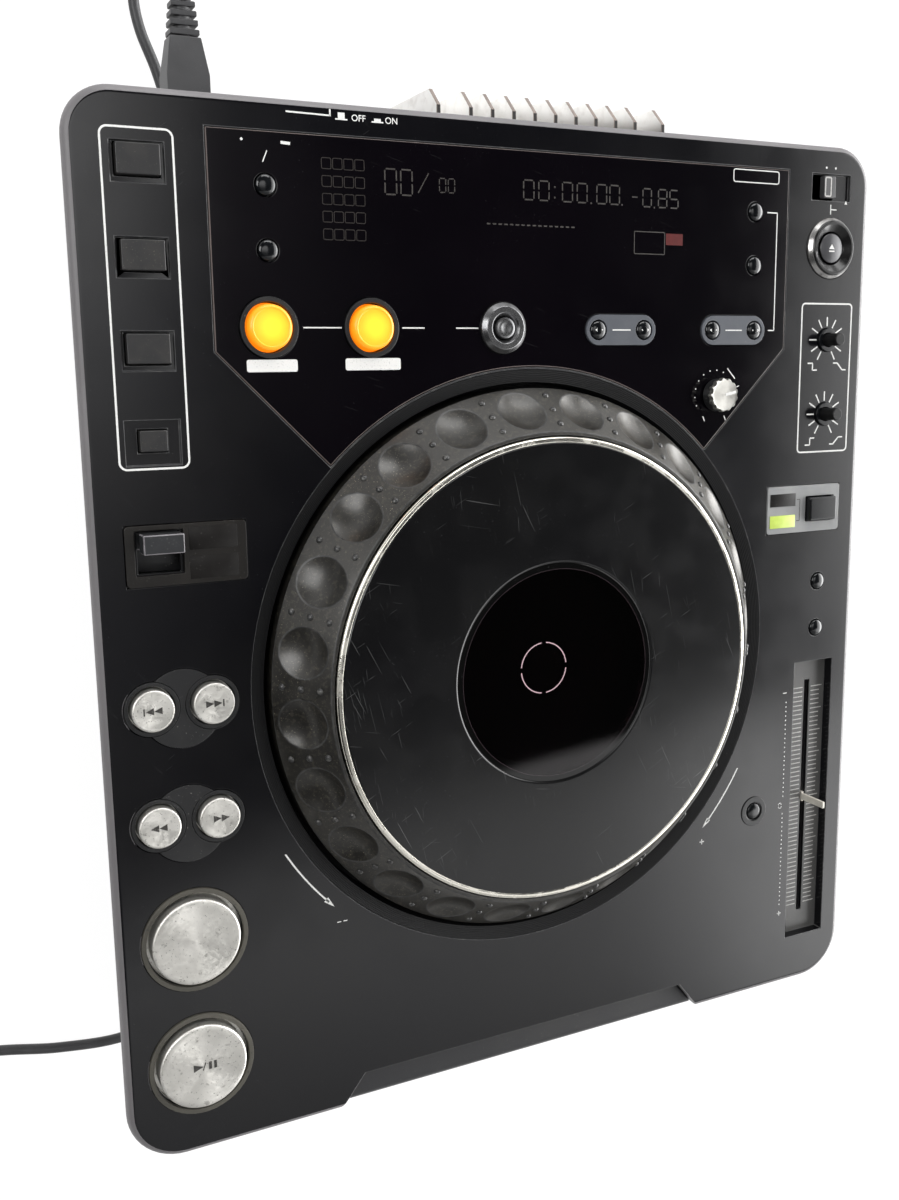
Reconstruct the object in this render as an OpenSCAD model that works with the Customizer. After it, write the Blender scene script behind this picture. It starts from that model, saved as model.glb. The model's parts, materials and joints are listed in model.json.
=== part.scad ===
// Tabletop player for 120 mm discs, with a front disc slot and a large turning jog wheel.
// The frame stands on the table at Z = 0, +Y to the back, +X to the right, origin under the middle.

/* [Case] */
// Width of the top cover
cover_w = 320; // [312:1:330]
// Depth of the top cover
cover_d = 357.6; // [352:0.2:370]
// Height of the case from its floor to the deck
case_h = 76.5; // [74:0.5:90]
// Thickness of the deck
deck_t = 3.5; // [3:0.1:4]
// Thickness of the cover's sloping skirt
skirt_t = 2.5; // [2:0.1:3]
// Depth of the cover's skirt below the deck
skirt_h = 28; // [26:0.5:30]
// How far the skirt leans in at its lower edge
skirt_lean = 6; // [5:0.5:8]
// Radius of the round on the deck's edge
edge_r = 3; // [2:0.5:3]
// Corner radius of the cover at the front
front_corner_r = 20; // [14:1:24]
// Corner radius of the cover at the back
rear_corner_r = 15.5; // [12:0.5:20]
// Thickness of the steel tray
tray_t = 1.2; // [1:0.1:1.6]
// How far the tray stands in from the cover's sides
tray_inset = 14; // [13:0.5:16]
// How far the tray stands in from the cover's front edge
tray_front_inset = 9.5; // [9:0.5:12]
// How far the tray stands in from the cover's back edge
tray_rear_inset = 7.6; // [7:0.1:9]
// Height that the feet lift the case
foot_h = 9; // [7:0.5:12]
// Radius of a foot
foot_r = 10; // [8:0.5:11]

/* [Front] */
// Width of the notch in the front edge of the deck
notch_w = 164; // [150:1:180]
// Depth of the notch
notch_depth = 12.5; // [10:0.5:14]
// Drop from the deck to the lip in the notch
lip_drop = 4.5; // [4:0.5:8]
// How far the lip stands out in front of the deck
lip_reach = 1; // [0.5:0.1:2]
// Radius of the lip's rounded nose
lip_r = 4; // [3:0.5:5]
// Width of the disc slot
slot_w = 126; // [124:1:130]
// Height of the disc slot
slot_h = 5.2; // [4.8:0.1:6]
// Height of the disc slot's middle above the case floor
slot_z = 41; // [40:0.5:42]

/* [Jog wheel] */
// Distance of the jog wheel's centre from the front edge
jog_row = 161.9; // [160:0.5:164]
// Outer radius of the jog wheel
jog_r = 102.8; // [100:0.2:103]
// Radius at the top of the wheel's sloping flank
jog_top_r = 87.5; // [87:0.1:88.5]
// Height of the flank's top above the deck
jog_flank_h = 18; // [17.5:0.1:18.5]
// Radius of the platter
platter_r = 85.8; // [85:0.1:86]
// Height of the platter's top above the deck
platter_h = 19.2; // [19:0.1:20]
// Radius of the platter sheet
sheet_r = 83.65; // [82:0.05:84.5]
// Thickness of the platter sheet where it stands above the platter
sheet_t = 0.3; // [0.2:0.1:0.5]
// Radius of the window in the platter
window_r = 40.8; // [39:0.1:42]
// Number of finger dimples round the flank
dimple_count = 24; // [12:1:24]
// Angle of the first dimple
dimple_start = 5.2; // [0:0.1:15]
// Radius of a dimple's rim
dimple_r = 9.5; // [7:0.5:10]
// Depth of a dimple
dimple_depth = 2.2; // [1.5:0.1:2.4]
// Clearance round the wheel in its well
well_gap = 1.9; // [1.5:0.1:2.5]
// Width of the bezel round the well
bezel_w = 4.7; // [4.5:0.1:6]
// Outer radius of the tube that the wheel turns on
journal_r = 27; // [24:0.5:30]
// Radius of the fixed display in the wheel
jog_display_r = 38; // [34:0.5:40]
// Height of the fixed display's glass above the deck
jog_display_h = 8.8; // [7:0.1:10]

/* [Buttons] */
// Distance of the left column's middle from the cover's left side
left_column = 26.7; // [26:0.1:28]
// Distance of the right column's middle from the cover's right side
right_column = 20; // [20:0.5:21]
// Diameter of the play and cue buttons
transport_d = 30.8; // [28:0.2:32]
// Outer diameter of the ring round a play or cue button
transport_ring_d = 37.2; // [36:0.2:39]
// Diameter of the four search buttons
search_d = 14.2; // [12:0.2:15]
// Distance between the two search buttons of a pair
search_pitch = 20.3; // [19:0.1:22]
// Diameter of the disc plate under a pair of search buttons
search_plate_d = 27; // [25:0.5:29]
// Width of a hot cue pad
pad_w = 13.6; // [12:0.1:14]
// Depth of a hot cue pad
pad_d = 9.3; // [8:0.1:10]
// Distance between two hot cue pads
pad_pitch = 28.4; // [24:0.2:29]
// Distance of the hot cue column from the cover's left side
pad_column = 22.1; // [21:0.1:23]
// Diameter of the lit loop buttons
loop_d = 14.9; // [13:0.1:16]
// Outer diameter of the ring round a lit loop button
loop_ring_d = 19.8; // [19:0.1:21]
// Diameter of the loop exit button
exit_d = 7.5; // [6:0.1:9]
// Diameter of the small panel buttons
small_d = 6.6; // [5:0.1:7]
// Diameter of the eject button
eject_d = 12; // [10:0.2:13]
// Outer diameter of the eject button's ring
eject_ring_d = 24; // [22:0.5:26]
// Travel of a button
button_travel = 1; // [0.6:0.1:1.2]
// Clearance round a button
button_gap = 0.4; // [0.3:0.05:0.6]

/* [Rows from the front edge] */
// Row of the play button
play_row = 33.7; // [32:0.1:35]
// Row of the cue button
cue_row = 80; // [78:0.1:82]
// Row of the two search buttons
search_row = 122.9; // [120:0.1:124]
// Row of the two track buttons
track_row = 163; // [161:0.1:165]
// Row of the direction switch
direction_row = 213.7; // [210:0.1:216]
// Row of the record mode button
rec_row = 250.4; // [249:0.1:252]
// Row of the first hot cue pad
pad_row = 279.1; // [278:0.1:281]
// Row of the loop buttons
loop_row = 285.8; // [284:0.1:288]
// Row of the jog adjust knob
adjust_row = 260.4; // [259:0.1:262]
// Row of the text and delete buttons
text_row = 310.2; // [308:0.1:312]
// Row of the time and memory buttons
time_row = 330.5; // [329:0.1:332]
// Row of the eject button
eject_row = 317.9; // [316:0.1:320]
// Row of the lock switch
lock_row = 341.5; // [340:0.1:343]
// Row of the brake speed shaft
brake_row = 281.6; // [280:0.1:283]
// Row of the start speed shaft
start_row = 251.5; // [250:0.1:253]
// Row of the jog mode button
mode_row = 212.4; // [211:0.1:214]
// Row of the tempo range button
range_row = 181.2; // [180:0.1:183]
// Row of the master tempo button
master_row = 161; // [159:0.1:162]
// Row of the tempo reset button and of the tempo lever's middle
tempo_row = 83.7; // [82:0.1:85]

/* [Display panel] */
// Width of the display panel
panel_w = 234; // [230:1:236]
// Row of the panel's back edge
panel_back_row = 347; // [346:0.5:348]
// Row where the panel's sides turn in
panel_turn_row = 278; // [274:0.5:279]
// How far each side of the panel turns in at 45 degrees
panel_turn = 38.5; // [37:0.5:39]
// Thickness of the display panel
panel_t = 2; // [1.6:0.1:2.4]
// Width of the display tube's window
glass_w = 150; // [140:1:154]
// Depth of the display tube's window
glass_d = 36; // [30:1:38]

/* [Tempo fader] */
// Width of the fader's recess
fader_w = 20.6; // [19:0.2:22]
// Length of the fader's recess
fader_l = 125.4; // [122:0.2:127]
// Depth of the fader's recess
fader_recess = 4.4; // [3.6:0.2:5]
// Travel of the tempo lever
tempo_travel = 100; // [90:1:104]
// Thickness of the tempo lever's blade
blade_t = 1.2; // [1:0.1:1.6]
// Width of the tempo lever's blade at its base
blade_w = 4.5; // [3.5:0.1:5]
// Height of the tempo lever above the deck
blade_h = 8.7; // [7:0.1:10]

/* [Switches and knobs] */
// Diameter of the jog adjust knob
knob_d = 13.2; // [11:0.2:14]
// Height of the jog adjust knob above the panel
knob_h = 6.6; // [5:0.1:8]
// Diameter of a speed shaft
speed_shaft_d = 5; // [4:0.1:6]
// Height of a speed shaft above the deck
speed_shaft_h = 8; // [6:0.1:10]
// Diameter of the threaded bush round a speed shaft
speed_bush_d = 9.3; // [8:0.1:10]
// Width of the direction plate
direction_w = 40; // [38:0.5:41]
// Depth of the direction plate
direction_d = 20; // [18:0.5:21]
// Travel of the direction lever
direction_travel = 7; // [5:0.5:7.5]
// Travel of the lock switch
lock_travel = 4.4; // [3:0.1:4.6]
// Travel of the power button
power_travel = 2.5; // [2:0.1:3]

/* [Disc drive] */
// Diameter of a disc
disc_d = 120; // [120]
// Distance of the disc spindle from the front edge
spindle_row = 73; // [72:0.5:76]
// Radius of the spindle's table
spindle_table_r = 14; // [12:0.5:15]
// Radius of the spindle's shaft
spindle_shaft_r = 1.5; // [1:0.1:2]
// Travel of the laser sled
sled_travel = 34; // [30:1:36]
// Pitch of the sled's lead screw
screw_pitch = 3; // [2:0.5:4]
// Radius of the feed roller
roller_r = 4; // [3:0.1:4.5]
// Running clearance round shafts
running_gap = 0.06; // [0.04:0.01:0.08]

/* [Back] */
// Number of cooling fins
fin_count = 11; // [7:1:11]
// Distance between two inner fins
fin_pitch = 8.7; // [8:0.1:10]
// Extra distance from the inner fins to the outer two
fin_extra = 4; // [0:0.5:6]
// Thickness of a fin
fin_t = 1.6; // [1.2:0.1:2.5]
// How far the fins stand out behind the cover
fin_reach = 11.4; // [9:0.2:14]
// Height of the fins' top below the deck
fin_drop = 12; // [11:0.5:14]
// X of the cooling fins' middle
fin_x = 17.9; // [15:0.1:22]
// X of the mains inlet
inlet_x = -112; // [-114:0.5:-108]
// Height of the mains inlet above the case floor
inlet_z = 38.5; // [37:0.5:39]
// X of the power button
power_x = -75; // [-76:0.5:-70]
// Radius of a phono socket's barrel
phono_r = 4.15; // [4.1:0.05:4.2]
// Radius of the control socket's bore
control_r = 1.8; // [1.75:0.05:1.85]

/* [Mains lead] */
// Diameter of the cord
cord_d = 4; // [3.6:0.1:4.4]
// Width of the lead's connector
connector_w = 14.6; // [14:0.1:16]
// Mean radius of the stored coil
coil_r = 22; // [20:0.5:24]

/* [Hidden] */
$fn = 64;

// Fine overlap that keeps cuts clean
eps = 0.01;
// Gap between pieces that rest in the same body
seat_gap = 0.1;
// Gap between a moving piece and its stop
stop_gap = 0.25;

// Places of the case
foot_step = 1.6;
deck_z = foot_h + case_h;
under_deck = deck_z - deck_t;
body_d = lip_reach + cover_d + fin_reach;
front_y = lip_reach - body_d / 2;
rear_y = front_y + cover_d;
left_x = -cover_w / 2;
right_x = cover_w / 2;
floor_z = foot_h + tray_t;
disc_z = foot_h + slot_z;

function row(distance) = front_y + distance;

// Tray outline
tray_w = cover_w - 2 * tray_inset;
tray_front = front_y + tray_front_inset;
tray_rear = rear_y - tray_rear_inset;
tray_d = tray_rear - tray_front;
tray_wall_top = deck_z - skirt_h + 6;
skirt_lip = 2.4;

// Columns of controls
left_col = left_x + left_column;
right_col = right_x - right_column;
pad_col = left_x + pad_column;

// Heights of the control boards and of their switches
board_t = 1.6;
switch_h = 4;
board_top = deck_z - 14.4;
switch_top = board_top + switch_h;
flange_t = 1.2;
flange_w = 1.2;
flange_top = under_deck - stop_gap;
stem_bottom = switch_top + button_travel + stop_gap;
stem_d = 3;

// Heights of the faces of buttons above the deck
transport_h = 3;
search_h = 3;
pad_h = 1.5;
loop_h = 3;
exit_h = 2.4;
small_h = 1.2;
pill_h = 1.4;
eject_h = 1;
reset_h = 0.6;
mode_h = 3;

// Plates and rings set in the deck
ring_seat = 1.2;
ring_h = 0.8;
transport_ring_w = 1.7;
transport_hole_d = transport_ring_d - 2 * transport_ring_w;
search_well_d = search_d + 2.4;
loop_ring_w = 1.6;
exit_ring_d = 18.1;
exit_ring_w = 3.6;
exit_ring_rise = 2.2;
eject_ring_rise = 2.4;
eject_rim_d = 19.6;
pill_w = 31;
pill_d = 11.2;
pill_rise = 0.6;
pill_pitch = 20.4;
plate_rise = 0.5;
direction_slot_w = 15.8;
direction_slot_d = 14.6;
direction_slot_x = -9;
direction_cap_w = 13.1;
direction_cap_d = 6.3;
direction_cap_h = 8;
mode_plate_w = 38.4;
mode_plate_d = 19.6;
mode_plate_x = -9.4;
mode_button_w = 14.4;
mode_button_d = 9.7;
lock_w = 19.9;
lock_d = 10.2;
lock_cap_w = 5.9;
lock_cap_d = 8.4;
lock_slot_w = lock_cap_w + lock_travel + 0.6;
lock_cap_x = right_col - 2.2;
lock_slot_x = lock_cap_x - lock_travel / 2;
lock_cap_h = 1.2;
lock_recess = 1.4;
knob_shaft_d = 6;
reset_ring_r = 6.5;
pad_well_w = pad_w + 3;
pad_well_d = pad_d + 2.9;
pad_well_h = 1;
rec_w = 8.8;
rec_d = 6.7;
rec_tray_w = 17.6;
rec_tray_d = 14.2;

// Tempo fader
reset_x = right_col - 30.8;
fader_x = right_col - 0.3;
fader_slot_x = right_col + 0.5;
fader_y = row(tempo_row);
fader_slot_w = 2.6;
fader_slot_l = tempo_travel + blade_w + 2;
fader_floor = deck_z - fader_recess;
pocket_t = 1.5;

// Columns on the display panel
time_x = -97.5;
in_x = -98.2;
out_x = -62;
exit_x = -11.2;
folder_x = 38.9;
call_x = 91.5;
memory_x = 101.2;
adjust_x = 83.4;
pill_row = loop_row - 0.5;
glass_row = 326;
panel_left = -116.5;
panel_seat = deck_z - panel_t;
panel_fit = 0.2;

// Jog wheel
jog_y = row(jog_row);
well_r = jog_r + well_gap;
well_t = 1.5;
bezel_r = well_r + bezel_w;
bezel_seat = 2.2;
bezel_dip = 1.7;
well_floor = deck_z - 18;
well_floor_t = 2;
wheel_bottom = deck_z - 13.8;
wheel_floor_t = 2.4;
wheel_wall = 4.4;
wheel_hollow_r = 76;
shelf_z = deck_z + 14.6;
hub_r = journal_r + 4;
hub_top = deck_z - 3;
thrust_t = wheel_bottom - stop_gap - well_floor - well_floor_t;
flank_rise = jog_flank_h - 0.4;
flank_run = jog_r - jog_top_r;
flank_len = sqrt(flank_rise * flank_rise + flank_run * flank_run);
dimple_ball_r = (dimple_r * dimple_r + dimple_depth * dimple_depth) / (2 * dimple_depth);
dimple_mid_r = (jog_r + jog_top_r) / 2;
dimple_mid_h = 0.4 + flank_rise / 2;
dimple_out = dimple_ball_r - dimple_depth;
sheet_seat = 1;
window_step = 1.6;

// Main board, key boards and what stands on them
main_board_z = floor_z + 5;
main_board_w = 206;
main_board_d = 128;
main_board_y = row(245);
main_post_inset = 7;
main_post_rise = 9;
main_posts = [
    for (side = [-1, 1], end = [-1, 1])
        [side * (main_board_w / 2 - main_post_inset),
            main_board_y + end * (main_board_d / 2 - main_post_rise)]
];
switch_w = 6;
display_board_d = 70;
display_board_y = row(panel_back_row + 2) - display_board_d / 2;
transport_board = [left_col + 2.5, row(95), 44, 150];
pad_board = [left_col - 4, row(263), 30, 167];
tempo_board = [right_col - 1, row(187), 28, 60];
speed_board = [right_col - 1, row(286.7), 28, 119];
reset_board = [reset_x, row(tempo_row) - 2, 14, 20];
key_boards = [transport_board, pad_board, tempo_board, speed_board, reset_board];
adjust_board_w = 32;
adjust_board_d = 28;
adjust_board_x = adjust_x + 3;
adjust_board_y = row(adjust_row) + adjust_board_d / 5;
transport_post_rows = [58, 100, 142];
pad_post_rows = [186, 232, 262];
right_post_rows = [171, 196, 236, 301];
panel_post_rows = [303, 346];
adjust_post_row = 268;
transformer = [44, 36, 30];
transformer_place = [-70, row(285)];
capacitor_d = 16;
capacitor_h = 26;
capacitor_pitch = 24;
chip_w = 28;
chip_h = 3;

// Disc drive
guide_z = disc_z + 7.5;
drive_t = 1.2;
drive_w = 136;
drive_base_z = foot_h + 27;
drive_front = row(15);
drive_rear = row(158);
spindle_y = row(spindle_row);
path_bottom = disc_z - slot_h / 2;
motor_r = 10;
motor_h = 5.5;
rail_r = 1.5;
rail_x = 19;
rail_z = foot_h + 32;
rail_front = spindle_y + 16.5;
rail_rear = spindle_y + 80;
rail_post_t = 4;
screw_x = 27;
screw_r = 1.5;
sled_w = 46;
sled_l = 22;
sled_h = 6.4;
sled_y = rail_front + rail_post_t / 2 + sled_l / 2 + stop_gap;
nut_w = 5.5;
roller_y = row(19.5);
roller_l = 122;
roller_shaft_r = 1.5;
roller_z = path_bottom - 0.4 - roller_r;

// Back panel
fin_y = rear_y + fin_reach;
fin_base_t = 3;
fin_bottom = foot_h + 11;
fin_top = deck_z - fin_drop;
fin_chamfer = 6.5;
fin_half = (fin_count - 1) / 2 * fin_pitch + fin_extra;
fin_base_w = 2 * fin_half + 10;
inlet_mid_z = foot_h + inlet_z;
inlet_w = 25;
inlet_h = 15;
inlet_depth = 20;
socket_w = connector_w + 0.8;
socket_h = 9.8;
socket_depth = 12;
power_z = foot_h + 38;
power_w = 9;
phono_z = foot_h + 24;
phono_x = [-57, -43];
digital_x = 92;
control_x = 112;
phono_l = 8.5;

// Mains lead
connector_h = 9;
connector_l = 32;
relief_l = 15;
relief_ribs = 5;
plug_w = 35;
plug_h = 13;
plug_l = 27;
pin_r = 2;
pin_l = 19;
pin_pitch = 18.6;
relief_d = 7;
plug_relief_l = 16;
coil_lanes = 4;
coil_layers = 2;
coil_w = coil_lanes * cord_d + 0.4;
coil_h = coil_layers * cord_d + 0.2;
coil_x = -262;
coil_y = -144;
outer_lane_r = coil_r + (coil_lanes - 1) / 2 * cord_d;
table_gap = 0.15;
cord_low = cord_d / 2 + table_gap;
cord_exit_y = tray_rear + connector_l + relief_l;

// Route of the cord: out of the connector, over and down to the table, under the case to the coil
cord_points = [
    [inlet_x, cord_exit_y, inlet_mid_z],
    [inlet_x, cord_exit_y + 10, inlet_mid_z],
    [-112.6, 233, 45.6],
    [-113.6, 243, 39.5],
    [-114.6, 249, 30],
    [-115.6, 249, 19],
    [-116.5, 243, 9],
    [-117.2, 233, 3.2],
    [-117.6, 222, cord_low],
    [-115.6, 211, cord_low],
    [-110, 196, cord_low],
    [-104, 172, cord_low],
    [-101, 140, cord_low],
    [-100, 100, cord_low],
    [-101, 60, cord_low],
    [-103, 20, cord_low],
    [-103, -20, cord_low],
    [-101, -60, cord_low],
    [-99, -100, cord_low],
    [-100, -130, cord_low],
    [-107, -156, cord_low],
    [-124, -174, cord_low],
    [-146, -180, cord_low],
    [-171, -178, cord_low],
    [-195, -173, cord_low],
    [-218, -171, cord_low],
    [-242, -171, cord_low],
    [coil_x, coil_y - outer_lane_r, cord_low]
];

// --- Helpers ---

// Rectangle with round corners, centred
module rounded_rect(w, d, r) {
    square([w - 2 * r, d], center = true);
    square([w, d - 2 * r], center = true);
    for (x = [-1, 1], y = [-1, 1])
        translate([x * (w / 2 - r), y * (d / 2 - r)]) circle(r);
}

// Plate with round corners whose underside is at z
module rounded_plate(w, d, r, z, t) {
    translate([0, 0, z]) linear_extrude(t) rounded_rect(w, d, r);
}

// Plate with fully round ends
module pill_plate(w, d, z, t) {
    translate([0, 0, z]) linear_extrude(t) {
        square([w - d, d], center = true);
        for (x = [-1, 1])
            translate([x * (w - d) / 2, 0]) circle(d / 2);
    }
}

// Round disc or post from one height to another
module post(x, y, z0, z1, d) {
    translate([x, y, z0]) cylinder(h = z1 - z0, d = d);
}

// Ring from one height to another
module ring(x, y, z0, z1, outer_d, inner_d) {
    translate([x, y, z0]) difference() {
        cylinder(h = z1 - z0, d = outer_d);
        translate([0, 0, -1]) cylinder(h = z1 - z0 + 2, d = inner_d);
    }
}

// Round hole through the deck
module deck_hole(x, y, d) {
    post(x, y, under_deck - 1, deck_z + 1, d);
}

// Box given by its middle in plan and its two heights
module block(x, y, z0, z1, w, d) {
    translate([x - w / 2, y - d / 2, z0]) cube([w, d, z1 - z0]);
}

// Round push button with a flange under the deck and a stem over its switch
module round_button(x, y, d, rise) {
    post(x, y, flange_top - flange_t, deck_z + rise, d);
    post(x, y, flange_top - flange_t, flange_top, d + 2 * flange_w);
    post(x, y, stem_bottom, flange_top - flange_t, stem_d);
}

// Rectangular push button with the same flange and stem
module square_button(x, y, w, d, rise) {
    block(x, y, flange_top - flange_t, deck_z + rise, w, d);
    block(x, y, flange_top - flange_t, flange_top, w + 2 * flange_w, d + 2 * flange_w);
    post(x, y, stem_bottom, flange_top - flange_t, stem_d);
}

// Corner of the cover's outer or inner form, from the deck down
module cover_corner(r, top, bottom, lean, edge) {
    rotate_extrude($fn = 48)
        polygon(concat(
            [[0, bottom], [max(r - lean, 1), bottom], [r, top - edge]],
            [for (a = [15:15:90]) [r - edge + edge * cos(a), top - edge + edge * sin(a)]],
            [[0, top]]
        ));
}

// Cover form drawn in by a wall on every side
module cover_form(wall, top, bottom, edge) {
    lean = skirt_lean * (deck_z - edge_r - bottom) / (skirt_h - edge_r);
    hull() {
        for (side = [-1, 1]) {
            translate([side * (cover_w / 2 - front_corner_r), front_y + front_corner_r, 0])
                cover_corner(front_corner_r - wall, top, bottom, lean, edge);
            translate([side * (cover_w / 2 - rear_corner_r), rear_y - rear_corner_r, 0])
                cover_corner(rear_corner_r - wall, top, bottom, lean, edge);
        }
    }
}

// Notch in the front edge, drawn in by a gap
module notch_outline(gap) {
    half = notch_w / 2 - gap;
    back = front_y + notch_depth - gap;
    inner = notch_w / 2 - notch_depth + 2.5 - gap;
    polygon([
        [-half, front_y + gap], [-half, front_y - 20], [half, front_y - 20], [half, front_y + gap],
        [inner, back], [-inner, back]
    ]);
}

// Outline of the display panel, drawn out by a gap
module panel_outline(gap) {
    back = row(panel_back_row) + gap;
    turn = row(panel_turn_row);
    left = panel_left - gap;
    right = panel_left + panel_w + gap;
    low = turn - panel_turn;
    difference() {
        polygon([
            [left, back], [right, back], [right, turn],
            [right - panel_turn, low - gap], [left + panel_turn, low - gap], [left, turn]
        ]);
        translate([0, jog_y]) circle(bezel_r + 1 - gap, $fn = 128);
    }
}

// --- Holes in the deck ---

module left_holes() {
    for (y = [play_row, cue_row])
        translate([left_col, row(y), 0]) {
            deck_hole(0, 0, transport_hole_d - 0.6);
            post(0, 0, deck_z - ring_seat, deck_z + 1, transport_ring_d + 2 * seat_gap);
        }
    for (y = [search_row, track_row]) {
        post(left_col, row(y) - 0.9, deck_z - ring_seat, deck_z + 1, search_plate_d + 2 * seat_gap);
        for (side = [-1, 1]) {
            x = left_col + side * search_pitch / 2;
            post(x, row(y), deck_z - ring_seat, deck_z + 1, search_well_d + 2 * seat_gap + 2);
            deck_hole(x, row(y), search_d + 2 * button_gap);
        }
    }
    for (i = [0:2])
        translate([pad_col, row(pad_row) + i * pad_pitch, 0]) {
            block(0, -0.7, deck_z - pad_well_h, deck_z + 1, pad_well_w, pad_well_d);
            block(0, 0, under_deck - 1, deck_z + 1, pad_w + 2 * button_gap, pad_d + 2 * button_gap);
        }
    block(pad_col, row(rec_row) - 0.6, deck_z - pad_well_h, deck_z + 1, rec_tray_w, rec_tray_d);
    block(pad_col, row(rec_row), under_deck - 1, deck_z + 1,
        rec_w + 2 * button_gap, rec_d + 2 * button_gap);
    block(left_col + 4.3, row(direction_row), deck_z - ring_seat, deck_z + 1,
        direction_w + 2 * seat_gap, direction_d + 2 * seat_gap);
    block(left_col + 4.3 + direction_slot_x, row(direction_row) + 1, under_deck - 1, deck_z + 1,
        direction_slot_w - 2, direction_slot_d - 1);
}

module right_holes() {
    block(right_col - 0.5, row(lock_row), deck_z - lock_recess, deck_z + 1, lock_w, lock_d);
    block(lock_slot_x, row(lock_row), under_deck - 1, deck_z + 1, lock_slot_w, lock_cap_d + 0.8);
    deck_hole(right_col, row(eject_row), eject_d + 2 * button_gap);
    post(right_col, row(eject_row), deck_z - ring_seat, deck_z + 1, eject_ring_d + 2 * seat_gap);
    for (y = [brake_row, start_row])
        deck_hole(right_col, row(y), speed_bush_d + 2 * seat_gap);
    block(right_col + mode_plate_x, row(mode_row) + 0.2, deck_z - ring_seat, deck_z + 1,
        mode_plate_w + 2 * seat_gap, mode_plate_d + 2 * seat_gap);
    block(right_col - 0.8, row(mode_row), under_deck - 1, deck_z + 1,
        mode_button_w + 2 * button_gap, mode_button_d + 2 * button_gap);
    for (y = [range_row, master_row])
        deck_hole(right_col, row(y), small_d + 2 * button_gap);
    deck_hole(reset_x, row(tempo_row), small_d + 2 * button_gap);
}

module panel_holes() {
    for (x = [in_x, out_x])
        deck_hole(x, row(loop_row), loop_ring_d - 2 * loop_ring_w - 0.6);
    deck_hole(exit_x, row(loop_row), exit_d + 2 * button_gap);
    for (x = [folder_x, call_x], side = [-1, 1])
        deck_hole(x + side * pill_pitch / 2, row(pill_row), small_d + 2 * button_gap);
    deck_hole(time_x, row(time_row), small_d + 2 * button_gap);
    deck_hole(time_x, row(text_row), small_d + 2 * button_gap);
    deck_hole(memory_x, row(time_row), small_d + 2 * button_gap);
    deck_hole(memory_x, row(text_row), small_d + 2 * button_gap);
    deck_hole(adjust_x, row(adjust_row), knob_shaft_d + 2 * button_gap);
}

// --- Case ---

// Posts under the deck that carry the boards and take the floor screws
board_posts = [
    [left_col - 16, row(transport_post_rows[0])], [left_col + 20, row(transport_post_rows[1])],
    [left_col + 14, row(transport_post_rows[2])], [left_col + 6, row(pad_post_rows[0])],
    [left_col + 6, row(pad_post_rows[1])], [left_col + 8, row(pad_post_rows[2])],
    [right_col - 12, row(right_post_rows[0])], [right_col - 12, row(right_post_rows[1])],
    [right_col - 9, row(right_post_rows[2])], [right_col - 11, row(right_post_rows[3])],
    [reset_x, row(tempo_row) - 8.5], [-40, row(panel_post_rows[0])], [45, row(panel_post_rows[0])],
    [-40, row(panel_post_rows[1])], [45, row(panel_post_rows[1])], [adjust_x + 14, row(adjust_post_row)]
];
screw_posts = [
    [left_x + 56, row(20)], [right_x - 26, row(15.5)], [left_x + 40, row(180)],
    [right_x - 39, row(186)], [left_x + 71, rear_y - 18.6], [right_x - 39, rear_y - 17.6]
];

module tray_cut() {
    translate([0, (tray_front + tray_rear) / 2, deck_z - skirt_h - 1])
        linear_extrude(tray_wall_top + 0.2 - deck_z + skirt_h + 1)
            square([tray_w + 2 * seat_gap, tray_d + 2 * seat_gap], center = true);
}

module top_cover() {
    color("#26262a") {
        difference() {
            cover_form(0, deck_z, deck_z - skirt_h, edge_r);
            cover_form(skirt_t, under_deck, deck_z - skirt_h + skirt_lip, 0.5);
            tray_cut();
            translate([0, 0, deck_z - 40]) linear_extrude(50) notch_outline(0);
            post(0, jog_y, under_deck - 1, deck_z + 1, 2 * (well_r + well_t + 2 * seat_gap));
            post(0, jog_y, deck_z - bezel_seat, deck_z + 1, 2 * (bezel_r + seat_gap));
            translate([0, 0, panel_seat]) linear_extrude(panel_t + 1) panel_outline(panel_fit);
            block(0, row(glass_row), under_deck - 1, deck_z, glass_w, glass_d);
            left_holes();
            right_holes();
            panel_holes();
            block(fader_x, fader_y, fader_floor, deck_z + 1, fader_w, fader_l);
            block(fader_slot_x, row(tempo_row), under_deck - 8, deck_z + 1,
                fader_slot_w, fader_slot_l);
            block(fin_x, rear_y - 4, deck_z - skirt_h - 1, fin_top + 1.5, fin_base_w + 2, 16);
        }
        for (p = board_posts)
            post(p[0], p[1], board_top + eps, under_deck + eps, 6);
        for (p = screw_posts)
            difference() {
                post(p[0], p[1], floor_z + eps, under_deck + eps, 8);
                post(p[0], p[1], floor_z - 1, floor_z + 12, 3.2);
            }
        fader_pocket();
    }
}

// Pocket wall that hangs under the fader's recess
module fader_pocket() {
    difference() {
        block(fader_x, fader_y, fader_floor - pocket_t, under_deck + eps,
            fader_w + 2 * pocket_t, fader_l + 2 * pocket_t);
        block(fader_x, fader_y, fader_floor, deck_z, fader_w, fader_l);
        block(fader_slot_x, row(tempo_row), fader_floor - 5, deck_z, fader_slot_w, fader_slot_l);
    }
}

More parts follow.
